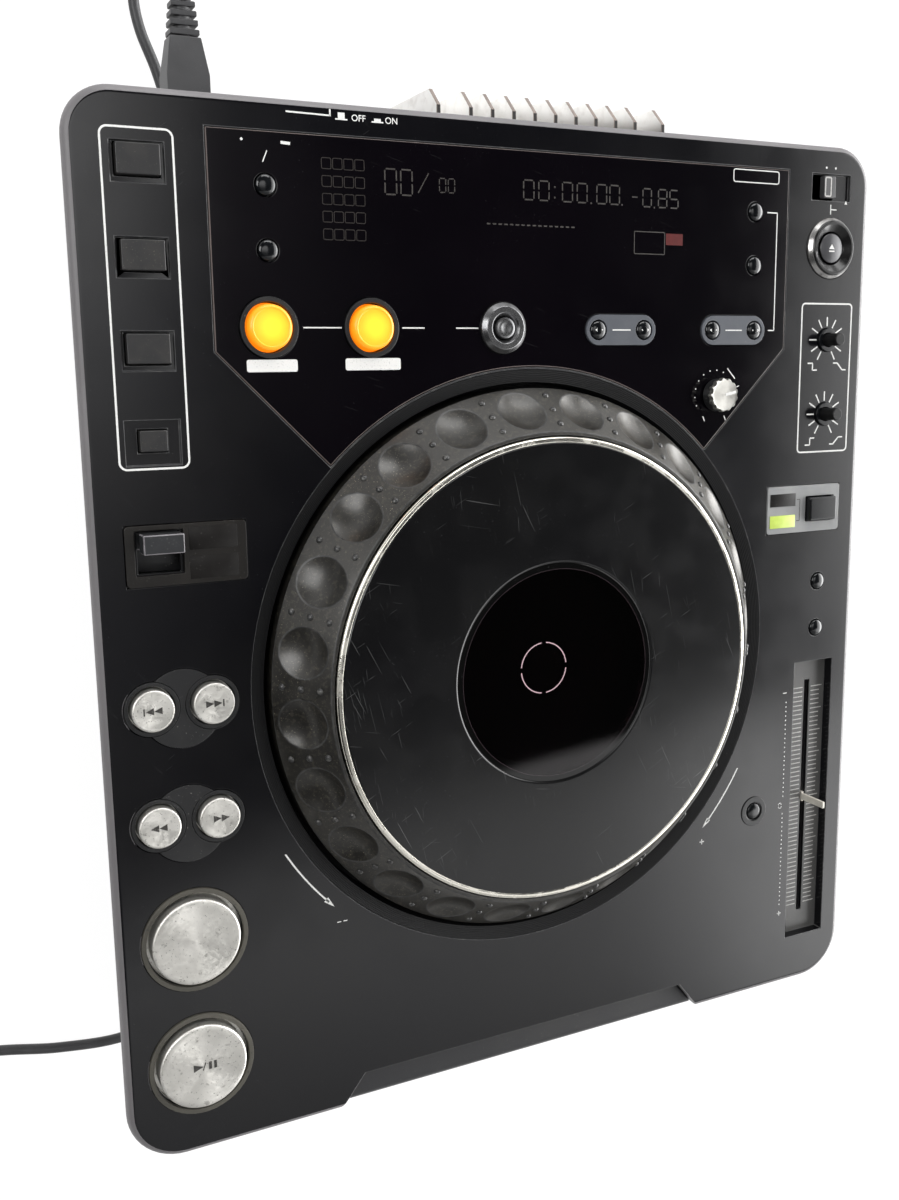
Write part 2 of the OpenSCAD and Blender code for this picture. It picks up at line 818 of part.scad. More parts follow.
module base_tray() {
    mid_y = (tray_front + tray_rear) / 2;
    color("#1c1c1e") difference() {
        union() {
            difference() {
                block(0, mid_y, foot_h, tray_wall_top, tray_w, tray_d);
                block(0, mid_y, floor_z, tray_wall_top + 1, tray_w - 2 * tray_t, tray_d - 2 * tray_t);
                block(0, tray_front, bezel_low - 0.3, tray_wall_top + 1, slot_bezel_w + 5, 10);
                block(fin_x, tray_rear, fin_bottom - 2, tray_wall_top + 1, fin_base_w - 4, 10);
            }
            for (p = main_posts)
                post(p[0], p[1], floor_z - eps, main_board_z, 6);
        }
        for (p = screw_posts)
            post(p[0], p[1], foot_h - 1, floor_z + 1, 3.6);
        for (p = feet_places)
            post(p[0], p[1], foot_h - 1, floor_z + 1, 3.6);
        for (i = [0:9])
            block(-54 + i * 12, row(262), foot_h - 1, floor_z + 1, 3, 40);
        rear_cuts();
    }
}

// Holes in the tray's back wall for what is mounted in it
module rear_cuts() {
    block(inlet_x, tray_rear, inlet_mid_z - inlet_h / 2 - seat_gap,
        inlet_mid_z + inlet_h / 2 + seat_gap, inlet_w + 2 * seat_gap, 6);
    block(power_x, tray_rear, power_z - power_w / 2 - button_gap,
        power_z + power_w / 2 + button_gap, power_w + 2 * button_gap, 6);
    for (x = concat(phono_x, [digital_x, control_x]))
        translate([x, tray_rear - 3, phono_z]) rotate([-90, 0, 0])
            cylinder(h = 6, r = phono_r + 0.6);
}

slot_bezel_w = notch_w - 2 * notch_depth + 5;
bezel_low = foot_h + 30;

// Lip and front with the disc slot, below the notch
module slot_bezel() {
    lip_top = deck_z - lip_drop;
    nose_y = front_y - lip_reach + lip_r;
    heel_y = tray_front + 0.5;
    foot_y = front_y + 6.4;
    color("#2a2a2d") difference() {
        intersection() {
            rotate([90, 0, 90]) linear_extrude(notch_w + 20, center = true) polygon(concat(
                [for (a = [90:10:190])
                    [nose_y + lip_r * cos(a), lip_top - lip_r + lip_r * sin(a)]],
                [
                    [foot_y, deck_z - skirt_h], [foot_y, bezel_low],
                    [heel_y + 4, bezel_low], [heel_y + 4, lip_top]
                ]
            ));
            union() {
                translate([0, 0, deck_z - skirt_h]) linear_extrude(60) notch_outline(0.3);
                block(0, front_y + 8, bezel_low - 1, under_deck - 0.3, slot_bezel_w, 16);
            }
        }
        block(0, front_y + 5, disc_z - slot_h / 2, disc_z + slot_h / 2, slot_w, 40);
    }
}

module feet() {
    color("#161616")
        for (p = feet_places)
            difference() {
                union() {
                    translate([p[0], p[1], 0]) cylinder(h = 1.5, r1 = foot_r - 1.5, r2 = foot_r);
                    post(p[0], p[1], 1.5, foot_h - eps, 2 * foot_r);
                }
                post(p[0], p[1], 3, foot_h + 1, 3.4);
                post(p[0], p[1], -1, 3.2, 7);
            }
}

front_foot_inset = 40;
rear_foot_inset = 36;
feet_places = [
    [left_x + front_foot_inset, front_y + front_foot_inset],
    [right_x - front_foot_inset, front_y + front_foot_inset],
    [left_x + rear_foot_inset, rear_y - rear_foot_inset - foot_step],
    [right_x - rear_foot_inset, rear_y - rear_foot_inset - foot_step]
];

module screws() {
    color("#8a8a8a") {
        for (p = screw_posts) {
            post(p[0], p[1], foot_h - 1.8, foot_h - eps, 6);
            post(p[0], p[1], foot_h - eps, foot_h + 11, 3);
        }
        for (p = feet_places) {
            post(p[0], p[1], 1.6, 3 - eps + 0.2, 6);
            post(p[0], p[1], 3, floor_z + 2.4, 3);
        }
        for (p = main_posts)
            post(p[0], p[1], main_board_z + board_t + eps, main_board_z + board_t + 1.8, 5.5);
    }
}

module cooling_fins() {
    base_y = tray_rear;
    function fin_place(i) =
        (i - (fin_count - 1) / 2) * fin_pitch
        + (i == 0 ? -fin_extra : 0)
        + (i == fin_count - 1 ? fin_extra : 0);
    color("#3a3a3c") {
        block(fin_x, base_y + fin_base_t / 2 + eps, fin_bottom, fin_top, fin_base_w, fin_base_t);
        for (i = [0 : fin_count - 1])
            translate([fin_x + fin_place(i) - fin_t / 2, 0, 0]) rotate([90, 0, 90])
                linear_extrude(fin_t) polygon([
                    [base_y + fin_base_t, fin_bottom], [fin_y, fin_bottom],
                    [fin_y, fin_top - fin_chamfer], [fin_y - fin_chamfer, fin_top],
                    [base_y + fin_base_t, fin_top]
                ]);
    }
}

// --- Display and boards ---

module display_panel() {
    color("#101014") difference() {
        translate([0, 0, panel_seat + eps]) linear_extrude(panel_t - eps) panel_outline(0);
        panel_holes();
        for (x = [in_x, out_x])
            post(x, row(loop_row), deck_z - ring_seat, deck_z + 1, loop_ring_d + 2 * seat_gap);
        post(exit_x, row(loop_row), deck_z - ring_seat, deck_z + 1, exit_ring_d + 2 * seat_gap);
        for (x = [folder_x, call_x])
            translate([x, row(pill_row), 0])
                pill_plate(pill_w + 2 * seat_gap, pill_d + 2 * seat_gap, deck_z - ring_seat, 3);
    }
}

module display_board() {
    tube_w = glass_w - 6;
    tube_d = glass_d - 6;
    color("#2f5d3a") difference() {
        union() {
            block(panel_left + panel_w / 2, display_board_y, board_top - board_t, board_top,
                panel_w, display_board_d);
            block(adjust_board_x, adjust_board_y, board_top - board_t, board_top,
                adjust_board_w, adjust_board_d);
        }
        post(0, jog_y, board_top - 2 * board_t, board_top + board_t, 2 * (well_r + well_t + 4));
        screw_post_holes();
    }
    pot_body(adjust_x, row(adjust_row), knob_shaft_d);
    color("#10181c")
        block(0, row(glass_row), board_top, panel_seat - 0.3, tube_w, tube_d);
    color("#303030") {
        for (x = [in_x, out_x, exit_x])
            block(x, row(loop_row), board_top, switch_top, switch_w, switch_w);
        for (x = [folder_x, call_x], side = [-1, 1])
            block(x + side * pill_pitch / 2, row(pill_row), board_top, switch_top, switch_w, switch_w);
        for (y = [time_row, text_row], x = [time_x, memory_x])
            block(x, row(y), board_top, switch_top, switch_w, switch_w);
    }
}

// Holes in a board round the posts for the floor screws
module screw_post_holes() {
    for (p = screw_posts)
        post(p[0], p[1], board_top - 10, board_top + 10, 9);
}

// Body of a turning control, with a bore for its shaft
module pot_body(x, y, shaft_d) {
    color("#303030") difference() {
        block(x, y, board_top, board_top + 6, 11, 11);
        post(x, y, board_top + 1, board_top + 7, shaft_d + 2 * running_gap);
    }
}

module circuit_boards() {
    color("#2f5d3a") difference() {
        union() {
            block(0, main_board_y, main_board_z + eps, main_board_z + board_t,
                main_board_w, main_board_d);
            for (b = key_boards)
                block(b[0], b[1], board_top - board_t, board_top, b[2], b[3]);
        }
        screw_post_holes();
    }
    for (y = [brake_row, start_row])
        pot_body(right_col, row(y), speed_shaft_d);
    color("#303030") {
        for (y = [play_row, cue_row])
            block(left_col, row(y), board_top, switch_top, switch_w, switch_w);
        for (y = [search_row, track_row], side = [-1, 1])
            block(left_col + side * search_pitch / 2, row(y), board_top, switch_top, switch_w, switch_w);
        for (i = [0:2])
            block(pad_col, row(pad_row) + i * pad_pitch, board_top, switch_top, switch_w, switch_w);
        block(pad_col, row(rec_row), board_top, switch_top, switch_w, switch_w);
        for (y = [eject_row, range_row, master_row])
            block(right_col, row(y), board_top, switch_top, switch_w, switch_w);
        block(right_col - 0.8, row(mode_row), board_top, switch_top, switch_w, switch_w);
        block(reset_x, row(tempo_row), board_top, switch_top, switch_w, switch_w);
        block(left_col + 4.3 + direction_slot_x, row(direction_row) + 1, board_top, board_top + 2,
            12, 16);
        block(lock_slot_x, row(lock_row), board_top, board_top + 1.3, 12, 8);
    }
    color("#6a5030") {
        top = main_board_z + board_t;
        block(transformer_place[0], transformer_place[1], top, top + transformer[2],
            transformer[0], transformer[1]);
        for (i = [1:3])
            post(transformer_place[0] + transformer[0] / 2 + 4 + i * capacitor_pitch,
                transformer_place[1] - 5, top, top + capacitor_h, capacitor_d);
        block(40, main_board_y - 25, top, top + chip_h, chip_w, chip_w);
    }
}

// --- Disc drive ---

module drive_frame() {
    mid_y = (drive_front + drive_rear) / 2;
    length = drive_rear - drive_front;
    color("#8f9296") difference() {
        union() {
            block(0, mid_y, guide_z, guide_z + drive_t, drive_w, length);
            block(0, mid_y, drive_base_z, drive_base_z + drive_t, drive_w - 2 * drive_t + eps, length);
            for (side = [-1, 1])
                block(side * (drive_w / 2 - drive_t / 2), mid_y, floor_z + eps, guide_z + eps,
                    drive_t, length);
            for (x = [-rail_x, rail_x], y = [rail_front, rail_rear])
                block(x, y, drive_base_z + drive_t - eps, rail_z + 3, 7, rail_post_t);
            for (y = [rail_front, rail_rear])
                block(screw_x, y, drive_base_z + drive_t - eps, rail_z + 3, 7, rail_post_t);
        }
        post(0, spindle_y, drive_base_z - 1, drive_base_z + 3, 6);
        along_y(screw_x, rail_front - 10, rail_rear + 10, rail_z, screw_r + running_gap);
        for (side = [-1, 1])
            translate([side * (drive_w / 2 - drive_t / 2) - 3, roller_y, roller_z])
                rotate([0, 90, 0]) cylinder(h = 6, r = roller_shaft_r + running_gap);
    }
    color("#c8c8cc")
        for (x = [-rail_x, rail_x])
            along_y(x, rail_front - rail_post_t / 2, rail_rear + rail_post_t / 2, rail_z, rail_r);
    color("#55585c") difference() {
        post(0, spindle_y, drive_base_z - motor_h, drive_base_z - eps, 2 * motor_r);
        post(0, spindle_y, drive_base_z - motor_h + 1, drive_base_z + 1,
            2 * (spindle_shaft_r + running_gap));
    }
}

// Round bar along Y
module along_y(x, y0, y1, z, r) {
    translate([x, y0, z]) rotate([-90, 0, 0]) cylinder(h = y1 - y0, r = r);
}

module disc_spindle() {
    table_z = path_bottom - 5;
    cone_r = 7.4;
    color("#d8d8dc") {
        post(0, spindle_y, drive_base_z - motor_h + 1.3, table_z, 2 * spindle_shaft_r);
        post(0, spindle_y, table_z, table_z + 2.2, 2 * spindle_table_r);
        translate([0, spindle_y, table_z + 2.2]) cylinder(h = 1.2, r = cone_r);
        translate([0, spindle_y, table_z + 3.4]) cylinder(h = 1.2, r1 = cone_r, r2 = cone_r - 2.5);
    }
}

module laser_sled() {
    low_z = rail_z - sled_h / 2;
    color("#333338") difference() {
        union() {
            block(0, sled_y, low_z, low_z + sled_h, sled_w, sled_l);
            block(screw_x - 2, sled_y, low_z, low_z + sled_h, nut_w + 4, 8);
        }
        for (x = [-rail_x, rail_x])
            along_y(x, sled_y - 20, sled_y + 20, rail_z, rail_r + running_gap);
        along_y(screw_x, sled_y - 20, sled_y + 20, rail_z, screw_r + running_gap);
    }
    color("#6fa0c0")
        post(0, sled_y - 5, low_z + sled_h, low_z + sled_h + 1.2, 7);
}

module lead_screw() {
    color("#b8b8bc")
        along_y(screw_x, rail_front - 4, rail_rear + 4, rail_z, screw_r);
}

module feed_roller() {
    color("#303234")
        translate([-roller_l / 2, roller_y, roller_z]) rotate([0, 90, 0])
            cylinder(h = roller_l, r = roller_r);
    color("#b8b8bc")
        translate([-drive_w / 2 - 1, roller_y, roller_z]) rotate([0, 90, 0])
            cylinder(h = drive_w + 2, r = roller_shaft_r);
}

// --- Jog wheel ---

module jog_well() {
    tube_r = journal_r - 3;
    color("#1a1a1c") translate([0, jog_y, 0]) {
        rotate_extrude($fn = 128) polygon([
            [well_r, well_floor], [well_r + well_t, well_floor],
            [well_r + well_t, deck_z - bezel_seat + eps], [bezel_r, deck_z - bezel_seat + eps],
            [bezel_r, deck_z], [well_r, deck_z - bezel_dip]
        ]);
        ring(0, 0, well_floor, well_floor + well_floor_t, 2 * well_r + eps, 2 * tube_r);
        ring(0, 0, well_floor + eps, well_floor + well_floor_t + thrust_t, 2 * hub_r, 2 * tube_r);
        ring(0, 0, well_floor + eps, hub_top + 1, 2 * journal_r, 2 * tube_r);
    }
}

module jog_display() {
    low = hub_top + 1;
    glass_z = deck_z + jog_display_h;
    color("#140c10") translate([0, jog_y, 0]) {
        post(0, 0, low + eps, low + 2, 2 * jog_display_r);
        post(0, 0, low + 1.9, glass_z, 2 * jog_display_r - 3);
    }
}

module jog_wheel() {
    flank_in = wheel_wall;
    color("#26282a") translate([0, jog_y, 0]) difference() {
        rotate_extrude($fn = 144) polygon([
            [journal_r + running_gap, wheel_bottom], [jog_r - 0.4, wheel_bottom],
            [jog_r - 0.4, deck_z], [jog_r, deck_z + 0.4],
            [jog_top_r, deck_z + jog_flank_h], [platter_r + 0.4, deck_z + jog_flank_h],
            [platter_r + 0.4, shelf_z], [wheel_hollow_r, shelf_z],
            [wheel_hollow_r, shelf_z - 3], [platter_r - 1.2, shelf_z - 3],
            [jog_r - flank_in - 0.6, deck_z + 0.4 - 1],
            [jog_r - flank_in - 0.6, wheel_bottom + wheel_floor_t],
            [hub_r, wheel_bottom + wheel_floor_t], [hub_r, hub_top],
            [journal_r + running_gap, hub_top]
        ]);
        for (i = [0 : dimple_count - 1])
            rotate([0, 0, dimple_start + i * 360 / dimple_count])
                translate([
                    dimple_mid_r + dimple_out * flank_rise / flank_len, 0,
                    deck_z + dimple_mid_h + dimple_out * flank_run / flank_len
                ])
                    sphere(r = dimple_ball_r);
    }
}

module jog_platter() {
    top = deck_z + platter_h;
    color("#d8d4c4") translate([0, jog_y, 0]) difference() {
        post(0, 0, shelf_z + eps, top, 2 * platter_r);
        post(0, 0, shelf_z - 1, top + 1, 2 * (window_r - window_step));
        post(0, 0, top - sheet_seat, top + 1, 2 * (sheet_r + 0.1));
    }
}

module jog_sheet() {
    top = deck_z + platter_h;
    color("#18181c")
        post(0, jog_y, top - sheet_seat + eps, top + sheet_t, 2 * sheet_r);
}

// --- Fixed trims round the controls ---

module control_trims() {
    seat = deck_z - ring_seat + eps;
    color("#6b675e") {
        for (y = [play_row, cue_row])
            ring(left_col, row(y), seat, deck_z + ring_h, transport_ring_d, transport_hole_d);
        for (y = [search_row, track_row])
            difference() {
                post(left_col, row(y) - 0.9, seat, deck_z + plate_rise, search_plate_d);
                for (side = [-1, 1])
                    post(left_col + side * search_pitch / 2, row(y), seat - 1, deck_z + 2,
                        search_well_d + 2);
            }
        for (y = [search_row, track_row], side = [-1, 1])
            ring(left_col + side * search_pitch / 2, row(y), seat, deck_z + plate_rise,
                search_well_d + 1.8, search_d + 1.4);
        for (x = [in_x, out_x])
            ring(x, row(loop_row), seat, deck_z + ring_h, loop_ring_d, loop_ring_d - 2 * loop_ring_w);
        exit_ring();
        for (x = [folder_x, call_x])
            difference() {
                translate([x, row(pill_row), 0])
                    pill_plate(pill_w, pill_d, seat, ring_seat + pill_rise - eps);
                for (side = [-1, 1])
                    deck_hole(x + side * pill_pitch / 2, row(pill_row), small_d + 2 * button_gap);
            }
        eject_ring();
        direction_plate();
        mode_plate();
        for (y = [brake_row, start_row])
            ring(right_col, row(y), under_deck - 3, deck_z + 1, speed_bush_d,
                speed_shaft_d + 2 * button_gap);
        ring(reset_x, row(tempo_row), deck_z + eps, deck_z + 0.4, 2 * reset_ring_r,
            small_d + 2 * button_gap + 1);
    }
}

// Dished ring round the loop exit button
module exit_ring() {
    hole_r = exit_d / 2 + button_gap;
    translate([exit_x, row(loop_row), 0]) rotate_extrude() polygon([
        [hole_r, deck_z - ring_seat + eps], [exit_ring_d / 2, deck_z - ring_seat + eps],
        [exit_ring_d / 2, deck_z + 0.6], [exit_ring_d / 2 - 1.6, deck_z + exit_ring_rise],
        [exit_ring_d / 2 - exit_ring_w, deck_z + exit_ring_rise], [hole_r, deck_z + 0.4]
    ]);
}

// Raised ring round the eject button, with a slope down to the button
module eject_ring() {
    hole_r = eject_d / 2 + button_gap;
    translate([right_col, row(eject_row), 0]) rotate_extrude() polygon([
        [hole_r, deck_z - ring_seat + eps], [eject_ring_d / 2, deck_z - ring_seat + eps],
        [eject_ring_d / 2, deck_z + 0.4], [eject_rim_d / 2 + 0.5, deck_z + eject_ring_rise],
        [eject_rim_d / 2 - 0.5, deck_z + eject_ring_rise], [hole_r + 0.3, deck_z + 0.6],
        [hole_r, deck_z + 0.4]
    ]);
}

module direction_plate() {
    difference() {
        translate([left_col + 4.3, row(direction_row), 0])
            rounded_plate(direction_w, direction_d, 1.5, deck_z - ring_seat + eps,
                ring_seat + plate_rise);
        block(left_col + 4.3 + direction_slot_x, row(direction_row) + 1, under_deck, deck_z + 2,
            direction_slot_w, direction_slot_d);
    }
}

module mode_plate() {
    difference() {
        translate([right_col + mode_plate_x, row(mode_row) + 0.2, 0])
            rounded_plate(mode_plate_w, mode_plate_d, 1.2, deck_z - ring_seat + eps,
                ring_seat + plate_rise);
        block(right_col - 0.8, row(mode_row), under_deck, deck_z + 2,
            mode_button_w + 2 * button_gap, mode_button_d + 2 * button_gap);
    }
}

// --- Buttons ---

module play_button() { color("#c9c9c4") round_button(left_col, row(play_row), transport_d, transport_h); }
module cue_button() { color("#c9c9c4") round_button(left_col, row(cue_row), transport_d, transport_h); }

module search_button(y, side) {
    color("#c9c9c4") round_button(left_col + side * search_pitch / 2, row(y), search_d, search_h);
}
module search_back_button() { search_button(search_row, -1); }
module search_forward_button() { search_button(search_row, 1); }
module track_back_button() { search_button(track_row, -1); }
module track_next_button() { search_button(track_row, 1); }

module hot_cue(i) {
    color("#2c2c2e") square_button(pad_col, row(pad_row) + i * pad_pitch, pad_w, pad_d, pad_h);
}
module hot_cue_a() { hot_cue(2); }
module hot_cue_b() { hot_cue(1); }
module hot_cue_c() { hot_cue(0); }
module rec_button() { color("#2c2c2e") square_button(pad_col, row(rec_row), rec_w, rec_d, small_h); }

module small_button(x, y, rise) { color("#303236") round_button(x, row(y), small_d, rise); }
module time_button() { small_button(time_x, time_row, small_h); }
module text_button() { small_button(time_x, text_row, small_h); }
module memory_button() { small_button(memory_x, time_row, small_h); }
module delete_button() { small_button(memory_x, text_row, small_h); }
module folder_back_button() { small_button(folder_x - pill_pitch / 2, pill_row, pill_h); }
module folder_next_button() { small_button(folder_x + pill_pitch / 2, pill_row, pill_h); }
module call_back_button() { small_button(call_x - pill_pitch / 2, pill_row, pill_h); }
module call_next_button() { small_button(call_x + pill_pitch / 2, pill_row, pill_h); }
module range_button() { small_button(right_col, range_row, small_h); }
module master_button() { small_button(right_col, master_row, small_h); }
module reset_button() { small_button(reset_x, tempo_row, reset_h); }

module loop_in_button() { color("#ffb020") round_button(in_x, row(loop_row), loop_d, loop_h); }
module loop_out_button() { color("#ffb020") round_button(out_x, row(loop_row), loop_d, loop_h); }
module loop_exit_button() { color("#303236") round_button(exit_x, row(loop_row), exit_d, exit_h); }
module eject_button() { color("#55585c") round_button(right_col, row(eject_row), eject_d, eject_h); }
module mode_button() {
    color("#3a3c40")
        square_button(right_col - 0.8, row(mode_row), mode_button_w, mode_button_d, mode_h);
}

// --- Switches, knobs and the tempo lever ---

module direction_lever() {
    x = left_col + 4.3 + direction_slot_x;
    y = row(direction_row) + 1 + direction_travel / 2;
    color("#9a9a94") {
        block(x, y, deck_z + 1.2, deck_z + direction_cap_h, direction_cap_w, direction_cap_d);
        block(x, y, board_top + 2.4, deck_z + 1.2, 6, 4);
        block(x, y, under_deck - stop_gap - 1.4, under_deck - stop_gap, 17, 5.6);
    }
}

module lock_switch() {
    x = lock_cap_x;
    y = row(lock_row);
    color("#b0b0a8") {
        block(x, y, under_deck - stop_gap, deck_z + lock_cap_h, lock_cap_w, lock_cap_d);
        block(x, y, board_top + 1.6, under_deck - stop_gap, 3, 3);
        block(x, y, under_deck - stop_gap - 1.2, under_deck - stop_gap, 5, lock_cap_d + 3);
    }
}

module power_button() {
    color("#1a1a1a") translate([power_x, 0, power_z]) {
        block(0, tray_rear + 1, -power_w / 2, power_w / 2, power_w, 12);
        block(0, tray_rear - tray_t - stop_gap - 0.8, -power_w / 2 - 1.2, power_w / 2 + 1.2,
            power_w + 2.4, 1.6);
    }
}

module adjust_knob() {
    color("#c9c9c4") {
        post(adjust_x, row(adjust_row), deck_z + 0.5, deck_z + knob_h, knob_d);
        post(adjust_x, row(adjust_row), board_top + 1.5, deck_z + 0.5, knob_shaft_d);
    }
}

module speed_shaft(y) {
    color("#2a2a2c")
        post(right_col, row(y), board_top + 1.5, deck_z + speed_shaft_h, speed_shaft_d);
}
module brake_shaft() { speed_shaft(brake_row); }
module start_shaft() { speed_shaft(start_row); }

module fader_unit() {
    top = fader_floor - pocket_t - 0.2;
    color("#6e7074") difference() {
        block(fader_slot_x, row(tempo_row), top - 11, top, 9.6, tempo_travel + 26);
        block(fader_slot_x, row(tempo_row), top - 9.5, top + 1, fader_slot_w, fader_slot_l);
        block(fader_slot_x, row(tempo_row), top - 9.5, top - 3, 7, fader_slot_l + 4);
    }
}

module tempo_lever() {
    top = fader_floor - pocket_t - 0.2;
    color("#d8d8cc") {
        block(fader_slot_x, row(tempo_row), top - 6, fader_floor, blade_t, blade_w);
        block(fader_slot_x, row(tempo_row), fader_floor, deck_z + blade_h, blade_t, blade_w * 0.65);
        block(fader_slot_x, row(tempo_row), top - 9.2, top - 6, 6.2, blade_w);
    }
}

// --- Back ---

module rear_sockets() {
    color("#1c1c1e") translate([inlet_x, 0, inlet_mid_z]) {
        difference() {
            union() {
                block(0, tray_rear - inlet_depth / 2 + 0.5, -inlet_h / 2, inlet_h / 2,
                    inlet_w, inlet_depth);
                block(0, tray_rear + 0.8 + eps, -inlet_h / 2 - 2, inlet_h / 2 + 2, inlet_w + 8, 1.6);
            }
            block(0, tray_rear + 1.6 - socket_depth / 2, -socket_h / 2, socket_h / 2,
                socket_w, socket_depth + 1);
        }
        for (side = [-1, 1])
            along_y(side * 4.3, tray_rear - socket_depth, tray_rear - 0.4, 0, 1.2);
    }
    color("#c0b080")
        for (x = concat(phono_x, [digital_x]))
            difference() {
                union() {
                    along_y(x, tray_rear + 1, tray_rear + phono_l, phono_z, phono_r);
                    along_y(x, tray_rear + eps, tray_rear + 1 + eps, phono_z, 6);
                    block(x, tray_rear - tray_t - 7, phono_z - 6, phono_z + 6, 11, 14);
                    along_y(x, tray_rear - tray_t - eps, tray_rear + eps, phono_z, 4);
                }
                along_y(x, tray_rear - 5, tray_rear + phono_l + 1, phono_z, 1.7);
            }
    color("#1c1c1e")
        difference() {
            union() {
                along_y(control_x, tray_rear + eps, tray_rear + 1.4, phono_z, 5.4);
                along_y(control_x, tray_rear - tray_t - eps, tray_rear + 2 * eps, phono_z, 4);
                block(control_x, tray_rear - tray_t - 7, phono_z - 5, phono_z + 5, 10, 14);
            }
            along_y(control_x, tray_rear - 13, tray_rear + 2, phono_z, control_r);
        }
}

// --- Mains lead ---

module cord_connector() {
    start = tray_rear + 1.8;
    body_l = connector_l - 14;
    color("#101010") {
        block(inlet_x, start + body_l / 2, inlet_mid_z - connector_h / 2 - 1.2,
            inlet_mid_z + connector_h / 2 + 1.2, connector_w, body_l);
        hull() {
            block(inlet_x, start + body_l - 0.5, inlet_mid_z - connector_h / 2 - 1.2,
                inlet_mid_z + connector_h / 2 + 1.2, connector_w, 1);
            block(inlet_x, tray_rear + connector_l - 0.5, inlet_mid_z - 4, inlet_mid_z + 4, 10.6, 1);
        }
        for (i = [0 : relief_ribs - 1])
            block(inlet_x, tray_rear + connector_l + 1.5 + i * 3, inlet_mid_z - 3.6 + i * 0.2,
                inlet_mid_z + 3.6 - i * 0.2, 10 - i * 0.6, 1.8);
        along_y(inlet_x, tray_rear + connector_l - eps, cord_exit_y - eps, inlet_mid_z, 2.9);
        difference() {
            block(inlet_x, start - 5, inlet_mid_z - connector_h / 2, inlet_mid_z + connector_h / 2,
                connector_w, 10 + 2 * eps);
            for (side = [-1, 1])
                along_y(inlet_x + side * 4.3, start - 12, start - 0.6, inlet_mid_z, 1.4);
        }
    }
}

// A point on the smooth curve through the cord's points
function spline_point(p, i, t) =
    let (
        n = len(p),
        a = p[max(i - 1, 0)],
        b = p[i],
        c = p[min(i + 1, n - 1)],
        d = p[min(i + 2, n - 1)]
    )
    0.5 * (2 * b + (c - a) * t + (2 * a - 5 * b + 4 * c - d) * t * t
        + (3 * b - a - 3 * c + d) * t * t * t);

cord_steps = 8;
cord_fine = [
    for (i = [0 : len(cord_points) - 2], s = [0 : cord_steps - 1])
        spline_point(cord_points, i, s / cord_steps),
    cord_points[len(cord_points) - 1]
];
cord_run = [
    for (i = 0, run = 0;
        i < len(cord_fine);
        run = run + (i + 1 < len(cord_fine) ? norm(cord_fine[i + 1] - cord_fine[i]) : 0), i = i + 1)
        run
];
cord_rings = 76;

// Point at a share of the cord's run
function run_index(s, i) = i >= len(cord_run) - 2 || cord_run[i + 1] >= s ? i : run_index(s, i + 1);
function run_point(s) =
    let (
        i = run_index(s, 0),
        t = (s - cord_run[i]) / (cord_run[i + 1] - cord_run[i])
    )
    cord_fine[i] + (cord_fine[i + 1] - cord_fine[i]) * t;

module mains_cord() {
    sides = 8;
    length = cord_run[len(cord_run) - 1];
    centres = [for (k = [0 : cord_rings]) run_point(k * length / cord_rings)];
    function heading(k) =
        k == 0 ? [0, 1, 0]
        : k == cord_rings ? [-1, 0, 0]
        : (centres[k + 1] - centres[k - 1]) / norm(centres[k + 1] - centres[k - 1]);
    points = [
        for (k = [0 : cord_rings])
            let (
                h = heading(k),
                across = cross(h, [0, 0, 1]) / norm(cross(h, [0, 0, 1])),
                up = cross(across, h)
            )
            for (j = [0 : sides - 1])
                centres[k] + cord_d / 2 * (across * cos((j + 0.5) * 360 / sides)
                    + up * sin((j + 0.5) * 360 / sides))
    ];
    faces = [
        [for (j = [0 : sides - 1]) j],
        for (k = [0 : cord_rings - 1], j = [0 : sides - 1])
            [
                k * sides + j, (k + 1) * sides + j,
                (k + 1) * sides + (j + 1) % sides, k * sides + (j + 1) % sides
            ],
        [for (j = [sides - 1 : -1 : 0]) cord_rings * sides + j]
    ];
    color("#141414") polyhedron(points, faces);
}

module cord_coil() {
    color("#141414") translate([coil_x, coil_y, table_gap]) rotate_extrude()
        translate([coil_r, coil_h / 2]) rounded_rect(coil_w, coil_h, cord_d / 2);
}

module mains_plug() {
    coil_out = coil_r + coil_w / 2;
    half = relief_d / 2;
    relief_start = sqrt(coil_out * coil_out - pow(outer_lane_r - half, 2)) + seat_gap;
    body_start = relief_start + plug_relief_l;
    body_end = body_start + plug_l;
    translate([coil_x - outer_lane_r, coil_y, table_gap]) {
        color("#141414") {
            block(0, (body_start + body_end) / 2, 0, plug_h, plug_w, plug_l);
            along_y(0, relief_start, body_start + eps, plug_h / 2, half);
        }
        color("#c8c8cc")
            for (x = [-1, 1])
                along_y(x * pin_pitch / 2, body_end - eps, body_end + pin_l, plug_h / 2, pin_r);
    }
}

// --- Nodes ---

top_cover();
base_tray();
slot_bezel();
cooling_fins();
display_panel();
display_board();
circuit_boards();
drive_frame();
jog_well();
jog_display();
control_trims();
fader_unit();
rear_sockets();
feet();
screws();
jog_wheel();
jog_platter();
jog_sheet();
disc_spindle();
feed_roller();
laser_sled();
lead_screw();
play_button();
cue_button();
search_back_button();
search_forward_button();
track_back_button();
track_next_button();
hot_cue_a();
hot_cue_b();
hot_cue_c();
rec_button();
time_button();
text_button();
loop_in_button();
loop_out_button();
loop_exit_button();
folder_back_button();
folder_next_button();
memory_button();
delete_button();
call_back_button();
call_next_button();
eject_button();
mode_button();
range_button();
master_button();
reset_button();
direction_lever();
lock_switch();
power_button();
adjust_knob();
brake_shaft();
start_shaft();
tempo_lever();
cord_connector();
mains_cord();
cord_coil();
mains_plug();
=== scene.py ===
"""Looks of a tabletop player for 120 mm discs: its finishes, prints, controls and mains lead."""

import json
import math

import bmesh
import bpy
from mathutils import Matrix, Vector


